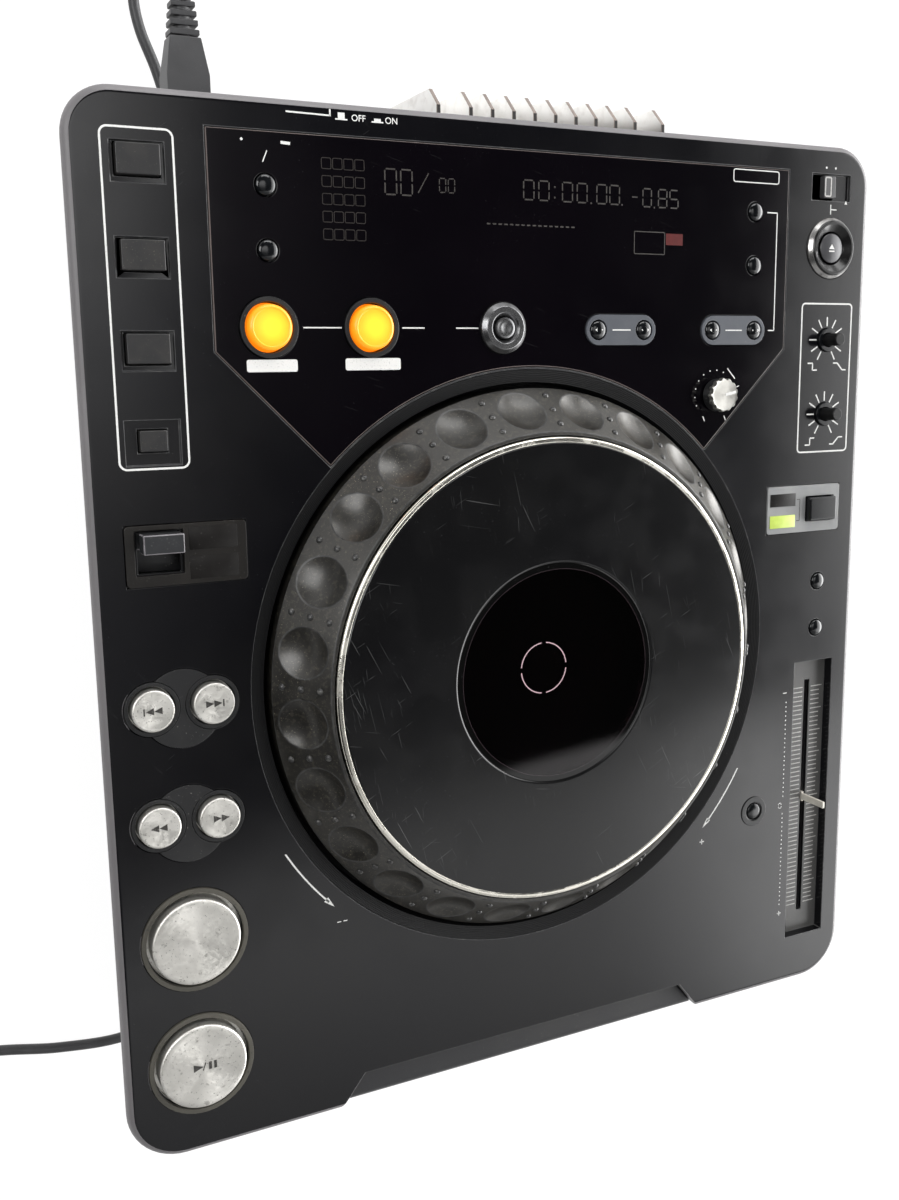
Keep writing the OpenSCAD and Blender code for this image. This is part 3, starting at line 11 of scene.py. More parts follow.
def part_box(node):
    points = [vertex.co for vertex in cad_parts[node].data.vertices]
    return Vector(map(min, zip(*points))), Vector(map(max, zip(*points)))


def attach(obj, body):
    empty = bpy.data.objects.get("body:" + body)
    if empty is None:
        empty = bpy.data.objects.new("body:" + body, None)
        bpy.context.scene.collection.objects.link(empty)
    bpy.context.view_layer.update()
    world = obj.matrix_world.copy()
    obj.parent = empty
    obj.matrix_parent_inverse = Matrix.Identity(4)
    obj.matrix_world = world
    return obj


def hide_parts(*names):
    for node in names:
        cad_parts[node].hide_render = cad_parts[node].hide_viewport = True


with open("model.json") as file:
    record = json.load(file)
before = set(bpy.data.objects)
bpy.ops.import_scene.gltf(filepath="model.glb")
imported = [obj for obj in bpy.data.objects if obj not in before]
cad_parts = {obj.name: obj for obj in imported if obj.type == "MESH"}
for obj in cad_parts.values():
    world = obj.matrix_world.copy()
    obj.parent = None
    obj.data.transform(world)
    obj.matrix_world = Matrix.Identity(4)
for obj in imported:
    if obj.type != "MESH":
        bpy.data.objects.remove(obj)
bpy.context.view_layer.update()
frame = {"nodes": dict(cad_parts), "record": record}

MM = 0.001
BODY_OF = {
    node: body
    for body, members in frame["record"]["behaviour"]["bodies"].items()
    for node in members
}
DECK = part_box("top_cover")[1].z / MM


# --- Places taken from the frame, in millimetres ---


def low(node):
    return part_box(node)[0] / MM


def high(node):
    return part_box(node)[1] / MM


def middle(node):
    """Middle of a node in plan, and the height of its top."""
    a, b = low(node), high(node)
    return (a.x + b.x) / 2, (a.y + b.y) / 2, b.z


def half_width(node):
    return (high(node).x - low(node).x) / 2


def reach(piece, axis):
    """Least and greatest place of a piece along an axis."""
    places = [vertex.co[axis] / MM for vertex in piece.data.vertices]
    return min(places), max(places)


# --- Camera ---


def make_camera():
    right = Vector((0.89958, -0.01573, 0.43647))
    down = Vector((-0.09075, -0.98427, 0.15156))
    forward = Vector((0.42723, -0.17595, -0.88686))
    data = bpy.data.cameras.new("camera")
    data.sensor_width = 36
    data.lens = 36.34
    data.shift_x = 0.0047
    data.shift_y = -0.00505
    data.clip_start = 0.01
    camera = bpy.data.objects.new("camera", data)
    bpy.context.scene.collection.objects.link(camera)
    turn = Matrix((right, -down, -forward)).transposed().to_4x4()
    camera.matrix_world = Matrix.Translation(Vector((-0.22364, 0.08487, 0.47420))) @ turn
    bpy.context.scene.camera = camera


# --- Modelling helpers ---


def deselect():
    if bpy.context.object and bpy.context.object.mode != "OBJECT":
        bpy.ops.object.mode_set(mode="OBJECT")
    bpy.ops.object.select_all(action="DESELECT")


def edit():
    bpy.ops.object.mode_set(mode="EDIT")


def leave():
    bpy.ops.object.mode_set(mode="OBJECT")


def take(piece):
    """Makes one piece the selected and active object."""
    deselect()
    piece.select_set(True)
    bpy.context.view_layer.objects.active = piece


def settle(piece, name):
    """Names a piece and puts its place into its mesh."""
    piece.name = name
    piece.data.name = name
    take(piece)
    bpy.ops.object.transform_apply(location=True, rotation=True, scale=True)
    return piece


def smooth(piece, angle=32):
    take(piece)
    bpy.ops.object.shade_smooth_by_angle(angle=math.radians(angle))


def settle_shading(piece, angle=32):
    """Smooth shading in which the large flat faces decide how the rounded edges look."""
    smooth(piece, angle)
    modifier = piece.modifiers.new("shading", "WEIGHTED_NORMAL")
    modifier.keep_sharp = True
    bpy.ops.object.modifier_apply(modifier=modifier.name)


def soften(piece, width, segments=2, angle=35, edge_slot=-1):
    """Rounds the sharp edges of a piece by a small bevel."""
    take(piece)
    modifier = piece.modifiers.new("edges", "BEVEL")
    modifier.width = width * MM
    modifier.segments = segments
    modifier.limit_method = "ANGLE"
    modifier.angle_limit = math.radians(angle)
    modifier.use_clamp_overlap = False
    modifier.material = edge_slot
    bpy.ops.object.modifier_apply(modifier=modifier.name)


def place(piece, body, finish, replaced=()):
    """Gives a piece its finish and lets it ride on a body."""
    if finish is not None:
        piece.data.materials.clear()
        piece.data.materials.append(finish)
    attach(piece, body)
    if replaced:
        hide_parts(*replaced)
    return piece


def turned(name, centre, rings, segments=64, hollow=False):
    """A round piece drawn ring by ring from (radius, height) pairs.

    A hollow one closes on its first ring.
    """
    x, y = centre[0] * MM, centre[1] * MM
    r, z = rings[0]
    deselect()
    bpy.ops.mesh.primitive_circle_add(
        vertices=segments, radius=r * MM, location=(x, y, z * MM),
        fill_type="NOTHING" if hollow else "NGON",
    )
    piece = bpy.context.object
    edit()
    for next_r, next_z in rings[1:] + ([rings[0]] if hollow else []):
        bpy.ops.mesh.extrude_region_move(TRANSFORM_OT_translate={"value": (0, 0, (next_z - z) * MM)})
        share = next_r / r
        bpy.ops.transform.resize(value=(share, share, 1), center_override=(x, y, next_z * MM))
        r, z = next_r, next_z
    bpy.ops.mesh.select_all(action="SELECT")
    bpy.ops.mesh.remove_doubles(threshold=0.000001)
    bpy.ops.mesh.normals_make_consistent(inside=False)
    leave()
    return settle(piece, name)


def rounded_block(name, a, b, corner=0.0, edge=0.2):
    """A block between two corners, with its upright edges rounded by corner and all others by edge."""
    mid = [(p + q) / 2 * MM for p, q in zip(a, b)]
    size = [(q - p) * MM for p, q in zip(a, b)]
    deselect()
    bpy.ops.mesh.primitive_cube_add(size=1, location=mid, scale=size)
    piece = settle(bpy.context.object, name)
    if corner:
        edit()
        mesh = bmesh.from_edit_mesh(piece.data)
        for e in mesh.edges:
            e.select = abs((e.verts[0].co - e.verts[1].co).normalized().z) > 0.9
        bmesh.update_edit_mesh(piece.data)
        bpy.ops.mesh.bevel(offset=corner * MM, segments=6, affect="EDGES")
        leave()
    soften(piece, edge)
    smooth(piece)
    return piece


def cad_copy(node, name):
    """A copy of a CAD node with its loose triangles merged into one skin."""
    piece = bpy.data.objects.new(name, frame["nodes"][node].data.copy())
    bpy.context.scene.collection.objects.link(piece)
    piece.data.materials.clear()
    take(piece)
    edit()
    bpy.ops.mesh.select_all(action="SELECT")
    bpy.ops.mesh.remove_doubles(threshold=0.000005)
    bpy.ops.mesh.dissolve_limited(angle_limit=math.radians(0.4))
    leave()
    if piece.data.has_custom_normals:
        bpy.ops.mesh.customdata_custom_splitnormals_clear()
    return piece


def loose_parts(node, name):
    """The separate bodies of a CAD node, each as a piece of its own."""
    take(cad_copy(node, name))
    edit()
    bpy.ops.mesh.select_all(action="SELECT")
    bpy.ops.mesh.separate(type="LOOSE")
    leave()
    return sorted(bpy.context.selected_objects, key=lambda piece: piece.name)


# an edge finish, if given, goes on the bevels: wear on some pieces, and on the cover wear with a painted
# highlight
def dressed(node, finish, edge=0.2, segments=2, angle=35, edge_finish=None):
    """Stands for a CAD node by a copy with softened edges."""
    piece = cad_copy(node, node + "_skin")
    piece.data.materials.append(finish)
    if edge_finish:
        piece.data.materials.append(edge_finish)
    if edge:
        soften(piece, edge, segments, angle, 1 if edge_finish else -1)
    settle_shading(piece)
    return place(piece, BODY_OF[node], None, [node])


# --- Materials ---


class Nodes:
    """Short ways to add nodes to a tree and to join them."""

    def __init__(self, owner):
        owner.use_nodes = True
        self.tree = owner.node_tree

    def node(self, kind, **values):
        made = self.tree.nodes.new(kind)
        for key, value in values.items():
            setattr(made, key, value)
        return made

    def link(self, source, target):
        """Joins an output to an input, or sets the input to a constant."""
        if isinstance(source, (int, float, tuple)):
            target.default_value = source
        else:
            self.tree.links.new(source, target)

    def range(self, value, a, b, to_a=0.0, to_b=1.0):
        """Maps a value between a and b onto another range."""
        mapped = self.node("ShaderNodeMapRange", interpolation_type="SMOOTHSTEP")
        for key, number in zip(("From Min", "From Max", "To Min", "To Max"), (a, b, to_a, to_b)):
            mapped.inputs[key].default_value = number
        self.link(value, mapped.inputs["Value"])
        return mapped.outputs["Result"]

    def calc(self, operation, *values):
        """One operation on two or more values, from left to right."""
        result = values[0]
        for value in values[1:]:
            maths = self.node("ShaderNodeMath", operation=operation)
            self.link(result, maths.inputs[0])
            self.link(value, maths.inputs[1])
            result = maths.outputs["Value"]
        return result

    def mix(self, kind, factor, a, b):
        mix = self.node("ShaderNodeMix", data_type=kind)
        for key, value in (("Factor", factor), ("A", a), ("B", b)):
            self.link(value, mix.inputs[key])
        return mix.outputs["Result"]


class Finish(Nodes):
    """A procedural material that is put together layer by layer."""

    def __init__(self, name, colour, rough=0.5, metal=0.0, specular=0.5):
        self.material = bpy.data.materials.new(name)
        super().__init__(self.material)
        self.shader = self.tree.nodes["Principled BSDF"]
        self.colour = (*colour, 1)
        self.rough = rough
        self.height = None
        self.set("Metallic", metal)
        self.set("Specular IOR Level", specular)
        self.set("Roughness", rough)
        self.set("Base Color", self.colour)
        self.place = self.node("ShaderNodeTexCoord").outputs["Object"]

    def set(self, name, value):
        """Joins a value to one of the shader's inputs, or sets it to a constant."""
        self.link(value, self.shader.inputs[name])

    def mapped(self, scale=(1, 1, 1), turn=0.0, move=(0, 0, 0), where=None):
        mapping = self.node("ShaderNodeMapping")
        mapping.inputs["Scale"].default_value = scale
        mapping.inputs["Rotation"].default_value = (0, 0, turn)
        mapping.inputs["Location"].default_value = move
        self.link(self.place if where is None else where, mapping.inputs["Vector"])
        return mapping.outputs["Vector"]

    def noise(self, size, detail=3.0, where=None):
        """Noise whose features are about size millimetres across."""
        texture = self.node("ShaderNodeTexNoise")
        texture.inputs["Scale"].default_value = 1 / (size * MM)
        texture.inputs["Detail"].default_value = detail
        self.link(self.place if where is None else where, texture.inputs["Vector"])
        return texture.outputs["Fac"]

    def spots(self, size, detail, a, b, amount=1.0):
        """Soft spots, there where the noise is above a and full above b."""
        return self.range(self.noise(size, detail), a, b, 0, amount)

    def radius_from(self, x, y):
        """Distance in metres from an upright axis through (x, y)."""
        moved = self.mapped(move=(-x * MM, -y * MM, 0))
        flat = self.node("ShaderNodeVectorMath", operation="MULTIPLY")
        flat.inputs[1].default_value = (1, 1, 0)
        self.link(moved, flat.inputs[0])
        length = self.node("ShaderNodeVectorMath", operation="LENGTH")
        self.link(flat.outputs["Vector"], length.inputs[0])
        return length.outputs["Value"]

    def paint(self, factor, colour):
        """Lays a colour over what is there, by a factor."""
        self.colour = self.mix("RGBA", factor, self.colour, (*colour, 1))
        self.set("Base Color", self.colour)

    def roughen(self, factor, rough):
        """Brings the roughness to another value, by a factor."""
        self.rough = self.mix("FLOAT", factor, self.rough, rough)
        self.set("Roughness", self.rough)

    def bump(self, height, depth):
        """Adds relief whose full height is depth millimetres."""
        bump = self.node("ShaderNodeBump")
        bump.inputs["Strength"].default_value = 1
        bump.inputs["Distance"].default_value = depth * MM
        self.link(height, bump.inputs["Height"])
        if self.height is not None:
            self.link(self.height, bump.inputs["Normal"])
        self.height = bump.outputs["Normal"]
        self.set("Normal", self.height)

    def dust(self, amount=0.5, colour=(0.35, 0.34, 0.32), size=0.7, edge=0.68):
        """Fine pale specks."""
        specks = self.spots(size, 2, edge, edge + 0.06, amount)
        patches = self.range(self.noise(30, 2), 0.35, 0.65, 0.25, 1)
        self.paint(self.calc("MULTIPLY", specks, patches), colour)

    def scratches(self, amount=0.4, colour=(0.25, 0.25, 0.25), turn=0.6, length=26.0, width=1.1):
        """Thin straight marks that run about one way."""
        stretched = self.mapped((1 / length, 1 / width, 1 / length), where=self.mapped(turn=turn))
        lines = self.range(self.noise(1, 1, stretched), 0.735, 0.775, 0, amount)
        self.paint(self.calc("MULTIPLY", lines, self.spots(45, 2, 0.45, 0.6)), colour)

    def clouds(self, colour, size=60.0, amount=0.5):
        """Slow change of colour across the piece."""
        self.paint(self.spots(size, 3, 0.35, 0.7, amount), colour)

    def grain(self, size=0.5, depth=0.01):
        self.bump(self.noise(size, 4), depth)

    def glow(self, colour, strength):
        self.set("Emission Color", colour)
        self.set("Emission Strength", strength)

    def spun(self):
        """Highlights of metal turned about an upright axis."""
        self.set("Anisotropic", 0.7)
        around = self.node("ShaderNodeTangent", direction_type="RADIAL", axis="Z")
        self.set("Tangent", around.outputs["Tangent"])


def cover_plastic():
    f = Finish("cover_plastic", (0.003, 0.003, 0.0042), 0.14)
    f.clouds((0.0045, 0.0042, 0.0045), 70)
    f.scratches(0.1, (0.10, 0.10, 0.10), 0.9, 15, 0.5)
    f.scratches(0.1, (0.12, 0.12, 0.12), -0.6, 12, 0.6)
    f.dust(0.35, (0.16, 0.16, 0.16), 0.5, 0.71)
    f.roughen(f.spots(24, 4, 0.35, 0.7, 0.4), 0.24)
    f.grain(0.35, 0.006)
    return f.material


# pale edge bevels: painted highlight along the cover's edges, with spots of wear
def worn_cover_edge():
    f = Finish("worn_cover_edge", (0.045, 0.045, 0.047), 0.4)
    f.paint(f.spots(3, 4, 0.5, 0.7, 0.7), (0.11, 0.11, 0.105))
    f.grain(0.5, 0.01)
    return f.material


def black_steel():
    f = Finish("black_steel", (0.012, 0.012, 0.013), 0.42)
    f.clouds((0.03, 0.03, 0.03), 40)
    f.dust(0.3)
    f.grain(0.9, 0.02)
    return f.material


def front_plastic():
    f = Finish("front_plastic", (0.02, 0.02, 0.022), 0.42)
    f.clouds((0.035, 0.034, 0.032), 30)
    f.dust(0.3)
    f.grain(0.4, 0.008)
    return f.material


def fin_metal():
    """Pale metal with painted shade that makes it browner to the right and towards its foot."""
    a, b = low("cooling_fins"), high("cooling_fins")
    f = Finish("fin_metal", (0.95, 0.94, 0.92), 0.5, 0.1)
    axes = f.node("ShaderNodeSeparateXYZ")
    f.link(f.place, axes.inputs[0])
    rise = f.range(axes.outputs["Z"], (b.z - 34) * MM, (b.z - 6) * MM)
    foot = f.range(axes.outputs["Y"], (b.y - 1) * MM, (b.y - 12) * MM)
    right = f.range(axes.outputs["X"], (a.x + 10) * MM, b.x * MM, 0.25, 1)
    # painted shade: darkens the fins to a brown by place, most to the right and towards their foot
    f.paint(f.calc("MULTIPLY", foot, rise, right), (0.10, 0.085, 0.075))
    f.paint(f.spots(5, 4, 0.5, 0.75, 0.3), (0.5, 0.46, 0.42))
    f.dust(0.4, (0.3, 0.28, 0.26))
    f.grain(0.6, 0.015)
    return f.material


def fin_crest(name, shade):
    f = Finish(name, shade, 0.6)
    f.clouds(tuple(1.5 * c for c in shade), 8)
    f.grain(0.6, 0.015)
    return f.material


def panel_gloss():
    f = Finish("panel_gloss", (0.0015, 0.001, 0.002), 0.1)
    f.clouds((0.003, 0.002, 0.0035), 60)
    f.dust(0.4, (0.07, 0.07, 0.075), 0.5, 0.7)
    f.roughen(f.spots(18, 4, 0.4, 0.7, 0.2), 0.2)
    f.scratches(0.08, (0.1, 0.1, 0.1), 0.3, 15, 0.5)
    return f.material


def board_green():
    f = Finish("board_green", (0.008, 0.022, 0.012), 0.4)
    f.paint(f.spots(4, 1, 0.5, 0.52), (0.011, 0.032, 0.017))
    f.dust(0.4)
    return f.material


def steel():
    f = Finish("steel", (0.45, 0.45, 0.46), 0.35, 1.0)
    f.clouds((0.3, 0.3, 0.31), 20)
    f.grain(0.8, 0.01)
    return f.material


def wheel_plastic():
    f = Finish("wheel_plastic", (0.005, 0.005, 0.005), 0.36)
    f.set("Coat Weight", 0.5)
    f.set("Coat Roughness", 0.25)
    f.set("Coat Tint", (1, 0.95, 0.85, 1))
    f.clouds((0.015, 0.0145, 0.013), 14, 0.7)
    f.paint(f.spots(1.3, 5, 0.52, 0.66, 0.5), (0.05, 0.046, 0.037))
    f.dust(0.6, (0.3, 0.27, 0.21), 0.5, 0.66)
    f.roughen(f.spots(9, 4, 0.35, 0.65, 0.8), 0.48)
    f.grain(0.7, 0.02)
    return f.material


def wheel_rim_wear():
    f = Finish("wheel_rim_wear", (0.045, 0.044, 0.042), 0.4)
    f.paint(f.spots(2.5, 4, 0.42, 0.6, 0.8), (0.016, 0.016, 0.016))
    f.grain(0.6, 0.02)
    return f.material


def chrome():
    f = Finish("chrome", (0.92, 0.89, 0.80), 0.2, 1.0)
    f.paint(f.spots(7, 5, 0.62, 0.72, 0.5), (0.5, 0.46, 0.36))
    f.roughen(f.spots(6, 4, 0.45, 0.65, 0.6), 0.4)
    f.grain(2.5, 0.004)
    return f.material


def sheet_plastic():
    f = Finish("sheet_plastic", (0.0035, 0.0035, 0.004), 0.16)
    f.clouds((0.006, 0.006, 0.006), 50)
    f.scratches(0.5, (0.13, 0.13, 0.13), 1.1, 22, 0.5)
    f.scratches(0.4, (0.12, 0.12, 0.12), 0.2, 26, 0.6)
    f.scratches(0.4, (0.12, 0.12, 0.12), -0.5, 14, 0.5)
    f.scratches(0.45, (0.11, 0.11, 0.11), 1.5, 13, 0.35)
    f.scratches(0.4, (0.11, 0.11, 0.11), 1.35, 19, 0.4)
    f.dust(0.3, (0.2, 0.2, 0.2), 0.4, 0.71)
    f.roughen(f.spots(16, 4, 0.4, 0.65, 0.35), 0.26)
    return f.material


def window_glass(x, y):
    """Tinted glass with an opaque black border."""
    f = Finish("window_glass", (0.18, 0.13, 0.15), 0.03)
    radius = f.radius_from(x, y)
    inner, outer = 38.4 * MM, 38.7 * MM
    f.paint(f.range(radius, inner, outer), (0.003, 0.003, 0.003))
    f.set("Transmission Weight", f.range(radius, inner, outer, 1, 0))
    f.set("IOR", 1.49)
    f.dust(0.3, (0.2, 0.2, 0.2), 0.45, 0.71)
    return f.material


def display_glass():
    f = Finish("display_glass", (0.010, 0.003, 0.005), 0.3, 0.0, 0.2)
    f.clouds((0.02, 0.006, 0.008), 30)
    f.dust(0.2)
    return f.material


def button_silver():
    f = Finish("button_silver", (0.70, 0.685, 0.64), 0.34, 0.85)
    f.spun()
    f.clouds((0.9, 0.88, 0.83), 9, 0.7)
    f.paint(f.spots(0.7, 4, 0.63, 0.7, 0.7), (0.12, 0.11, 0.10))
    f.paint(f.spots(2.2, 5, 0.62, 0.72, 0.5), (0.2, 0.19, 0.17))
    f.roughen(f.spots(1.5, 4, 0.4, 0.7, 0.8), 0.55)
    f.grain(0.25, 0.008)
    return f.material


def pad_plastic():
    f = Finish("pad_plastic", (0.014, 0.014, 0.015), 0.38)
    f.clouds((0.03, 0.028, 0.026), 6)
    f.dust(0.6, (0.3, 0.27, 0.2), 0.4, 0.68)
    f.grain(0.3, 0.01)
    return f.material


def black_plastic():
    f = Finish("black_plastic", (0.012, 0.012, 0.013), 0.35)
    f.clouds((0.022, 0.022, 0.022), 8)
    f.dust(0.4)
    f.grain(0.4, 0.008)
    return f.material


def small_gloss():
    f = Finish("small_gloss", (0.004, 0.0045, 0.0055), 0.13)
    f.clouds((0.008, 0.009, 0.010), 3)
    f.dust(0.2, (0.15, 0.15, 0.15))
    return f.material


def rubber():
    f = Finish("rubber", (0.014, 0.014, 0.014), 0.75)
    f.clouds((0.03, 0.03, 0.03), 10)
    f.grain(0.8, 0.03)
    return f.material


def ring_olive():
    f = Finish("ring_olive", (0.066, 0.062, 0.051), 0.4)
    f.clouds((0.10, 0.094, 0.077), 10)
    f.dust(0.4, (0.3, 0.29, 0.26), 0.4)
    f.paint(f.spots(1.2, 4, 0.62, 0.7, 0.7), (0.02, 0.02, 0.02))
    f.grain(0.35, 0.01)
    return f.material


def plate_brown():
    f = Finish("plate_brown", (0.045, 0.042, 0.038), 0.38)
    f.clouds((0.07, 0.066, 0.058), 9)
    f.dust(0.5, (0.25, 0.24, 0.21), 0.4)
    f.grain(0.35, 0.01)
    return f.material


def plate_direction():
    f = Finish("plate_direction", (0.009, 0.008, 0.007), 0.28)
    f.clouds((0.018, 0.0155, 0.0135), 12)
    f.dust(0.4)
    f.grain(0.5, 0.006)
    return f.material


def plate_pill():
    f = Finish("plate_pill", (0.07, 0.076, 0.09), 0.36)
    f.clouds((0.09, 0.096, 0.11), 6)
    f.dust(0.4)
    f.grain(0.35, 0.008)
    return f.material


def dark_chrome():
    f = Finish("dark_chrome", (0.16, 0.16, 0.165), 0.26, 0.9)
    f.clouds((0.28, 0.28, 0.28), 6)
    f.dust(0.5)
    f.grain(0.4, 0.008)
    return f.material


def cap_grey():
    f = Finish("cap_grey", (0.06, 0.06, 0.062), 0.34)
    f.clouds((0.09, 0.09, 0.092), 6)
    f.dust(0.4, (0.03, 0.03, 0.03), 0.4)
    f.grain(0.3, 0.01)
    return f.material


def eject_metal(name, x, y, edge, inner, outer):
    """Dark recess with a bright outer rim, divided at a radius in millimetres."""
    f = Finish(name, outer, 0.24, 0.9)
    f.clouds(tuple(c * 1.5 for c in outer), 6)
    radius = f.radius_from(x, y)
    a, b = (edge - 0.15) * MM, (edge + 0.15) * MM
    f.paint(f.range(radius, b, a), inner)
    f.set("Metallic", f.range(radius, a, b, 0.1, 0.9))
    f.dust(0.3, (0.2, 0.2, 0.2))
    f.grain(0.4, 0.008)
    return f.material


def panel_edge():
    f = Finish("panel_edge", (0.09, 0.07, 0.065), 0.35)
    f.clouds((0.15, 0.115, 0.105), 12)
    f.dust(0.3)
    return f.material


def blade_metal():
    f = Finish("blade_metal", (0.72, 0.69, 0.61), 0.4, 0.2)
    f.clouds((0.55, 0.52, 0.45), 4)
    f.grain(0.3, 0.008)
    return f.material


def lead_rubber():
    f = Finish("lead_rubber", (0.036, 0.036, 0.038), 0.46)
    f.clouds((0.06, 0.06, 0.062), 12)
    f.dust(0.3)
    f.grain(0.8, 0.012)
    return f.material


def print_white():
    f = Finish("print_white", (0.72, 0.72, 0.70), 0.5)
    f.paint(f.spots(0.5, 3, 0.58, 0.7, 0.5), (0.25, 0.25, 0.25))
    f.roughen(f.spots(2, 2, 0.4, 0.6, 0.5), 0.65)
    return f.material


def plate_mode():
    f = Finish("plate_mode", (0.22, 0.224, 0.226), 0.34)
    f.clouds((0.3, 0.304, 0.3), 9)
    f.dust(0.4, (0.25, 0.25, 0.24), 0.4)
    f.grain(0.35, 0.008)
    return f.material


def knob_silver():
    f = Finish("knob_silver", (0.6, 0.59, 0.55), 0.3, 0.9)
    f.spun()
    f.clouds((0.42, 0.41, 0.38), 4, 0.7)
    f.grain(0.3, 0.01)
    return f.material


def socket_gold():
    f = Finish("socket_gold", (0.62, 0.45, 0.2), 0.25, 1.0)
    f.clouds((0.45, 0.34, 0.16), 3)
    f.grain(0.3, 0.006)
    return f.material


def bezel_grooved(x, y):
    """Black plastic with fine grooves turned round the jog wheel."""
    f = Finish("bezel_grooved", (0.006, 0.006, 0.0065), 0.5, 0.0, 0.2)
    f.dust(0.4, (0.15, 0.15, 0.15), 0.5, 0.69)
    pitch, depth = 0.62 * MM, 0.06
    grooves = f.calc("SINE", f.calc("MULTIPLY", f.radius_from(x, y), 2 * math.pi / pitch), 0.0)
    f.bump(f.range(grooves, -1, 1), depth)
    f.grain(0.4, 0.006)
    return f.material


def lamp_amber(name, x, y, r):
    """Lit amber cap, yellow in the middle and orange at its rim."""
    f = Finish(name, (0.8, 0.35, 0.02), 0.3)
    uneven = f.calc("ADD", f.radius_from(x, y), f.calc("MULTIPLY", f.noise(3, 2), 0.6 * MM))
    rim = f.range(uneven, 0.25 * r * MM, 0.98 * r * MM)
    f.glow(f.mix("RGBA", rim, (1.0, 0.70, 0.035, 1), (1.0, 0.24, 0.004, 1)), 0.8)
    return f.material


def lamp_green():
    f = Finish("lamp_green", (0.42, 0.52, 0.10), 0.35)
    f.clouds((0.55, 0.66, 0.16), 3)
    f.glow((0.42, 0.58, 0.06, 1), 0.35)
    return f.material


def lamp_pale():
    f = Finish("lamp_pale", (0.6, 0.6, 0.58), 0.4)
    f.clouds((0.4, 0.4, 0.4), 2)
    f.glow((0.8, 0.78, 0.74, 1), 5)
    return f.material


def lamp_off():
    f = Finish("lamp_off", (0.008, 0.007, 0.0065), 0.4, 0.0, 0.2)
    f.clouds((0.013, 0.012, 0.011), 3)
    f.dust(0.3)
    return f.material


def print_dark():
    f = Finish("print_dark", (0.03, 0.028, 0.025), 0.5)
    f.paint(f.spots(0.35, 3, 0.6, 0.7, 0.8), (0.3, 0.29, 0.27))
    return f.material


def print_grey():
    f = Finish("print_grey", (0.52, 0.51, 0.49), 0.5)
    f.paint(f.spots(0.5, 3, 0.5, 0.7, 0.6), (0.22, 0.22, 0.22))
    return f.material


def tube_segment():
    """Unlit segments of the display tube, a faint warm grey."""
    f = Finish("tube_segment", (0.055, 0.05, 0.046), 0.3)
    f.paint(f.spots(1.5, 2, 0.4, 0.65, 0.6), (0.03, 0.027, 0.025))
    return f.material


def tube_faint():
    f = Finish("tube_faint", (0.024, 0.02, 0.018), 0.3)
    f.paint(f.spots(1.5, 2, 0.4, 0.65, 0.6), (0.014, 0.012, 0.011))
    return f.material


def tube_red():
    f = Finish("tube_red", (0.05, 0.002, 0.002), 0.3)
    f.clouds((0.08, 0.004, 0.003), 2)
    f.glow((0.3, 0.006, 0.005, 1), 0.12)
    return f.material


# --- Cords ---

CORD_D = 4.0
COIL = middle("cord_coil")[:2]
COIL_MIDDLE_R = 22.0
COIL_LOW = CORD_D / 2 + 0.15
COIL_STEP = CORD_D + 0.02
PLUG_ENTRY = COIL[1] + 17.7


def cord_route():
    """The points that the lead follows from its connector to its coil."""
    x, y, z = -112.0, 213.0, 47.5
    falling = [
        (x, y, z), (x, y + 10, z), (-112.6, 233, 45.6), (-113.6, 243, 39.5), (-114.6, 249, 30),
        (-115.6, 249, 19), (-116.5, 243, 9), (-117.2, 233, 3.2),
    ]
    under_case = [
        (-117.6, 222), (-115.6, 211), (-110, 196), (-104, 172), (-101, 140), (-100, 100), (-101, 60),
        (-103, 20), (-103, -20), (-101, -60), (-99, -100), (-100, -130), (-107, -156),
    ]
    to_coil = [
        (-124, -174), (-146, -180), (-171, -178), (-195, -173), (-218, -171), (-242, -171),
        (-262, -172),
    ]
    return falling + [(*spot, COIL_LOW) for spot in under_case + to_coil]


def smooth_route(points, steps=10):
    """Points on the smooth curve through a list of points."""
    padded = [points[0]] + points + [points[-1]]
    result = []
    for i in range(len(points) - 1):
        a, b, c, d = (Vector(p) for p in padded[i:i + 4])
        for s in range(steps):
            t = s / steps
            result.append(
                0.5 * (2 * b + (c - a) * t + (2 * a - 5 * b + 4 * c - d) * t * t
                       + (3 * b - a - 3 * c + d) * t ** 3)
            )
    result.append(Vector(points[-1]))
    return result


def coil_turns(centre, lanes, start, exit_angle, zone=35, step=6):
    """Clockwise turns through lanes of (radius, height), each left a little earlier than the last."""
    total = 360 * (len(lanes) - 1) + (start - exit_angle) % 360
    changes = [360 * (k + 1) - zone * (k + 1) for k in range(len(lanes) - 1)]
    points = []
    run = 0.0
    while run <= total + 0.01:
        r, z = lanes[0]
        for change, (next_r, next_z) in zip(changes, lanes[1:]):
            share = min(max((run - change) / zone, 0), 1)
            share = share * share * (3 - 2 * share)
            r += (next_r - r) * share
            z += (next_z - z) * share
        angle = math.radians(start - run)
        points.append(Vector((centre[0] + r * math.cos(angle), centre[1] + r * math.sin(angle), z)))
        run += step
    return points


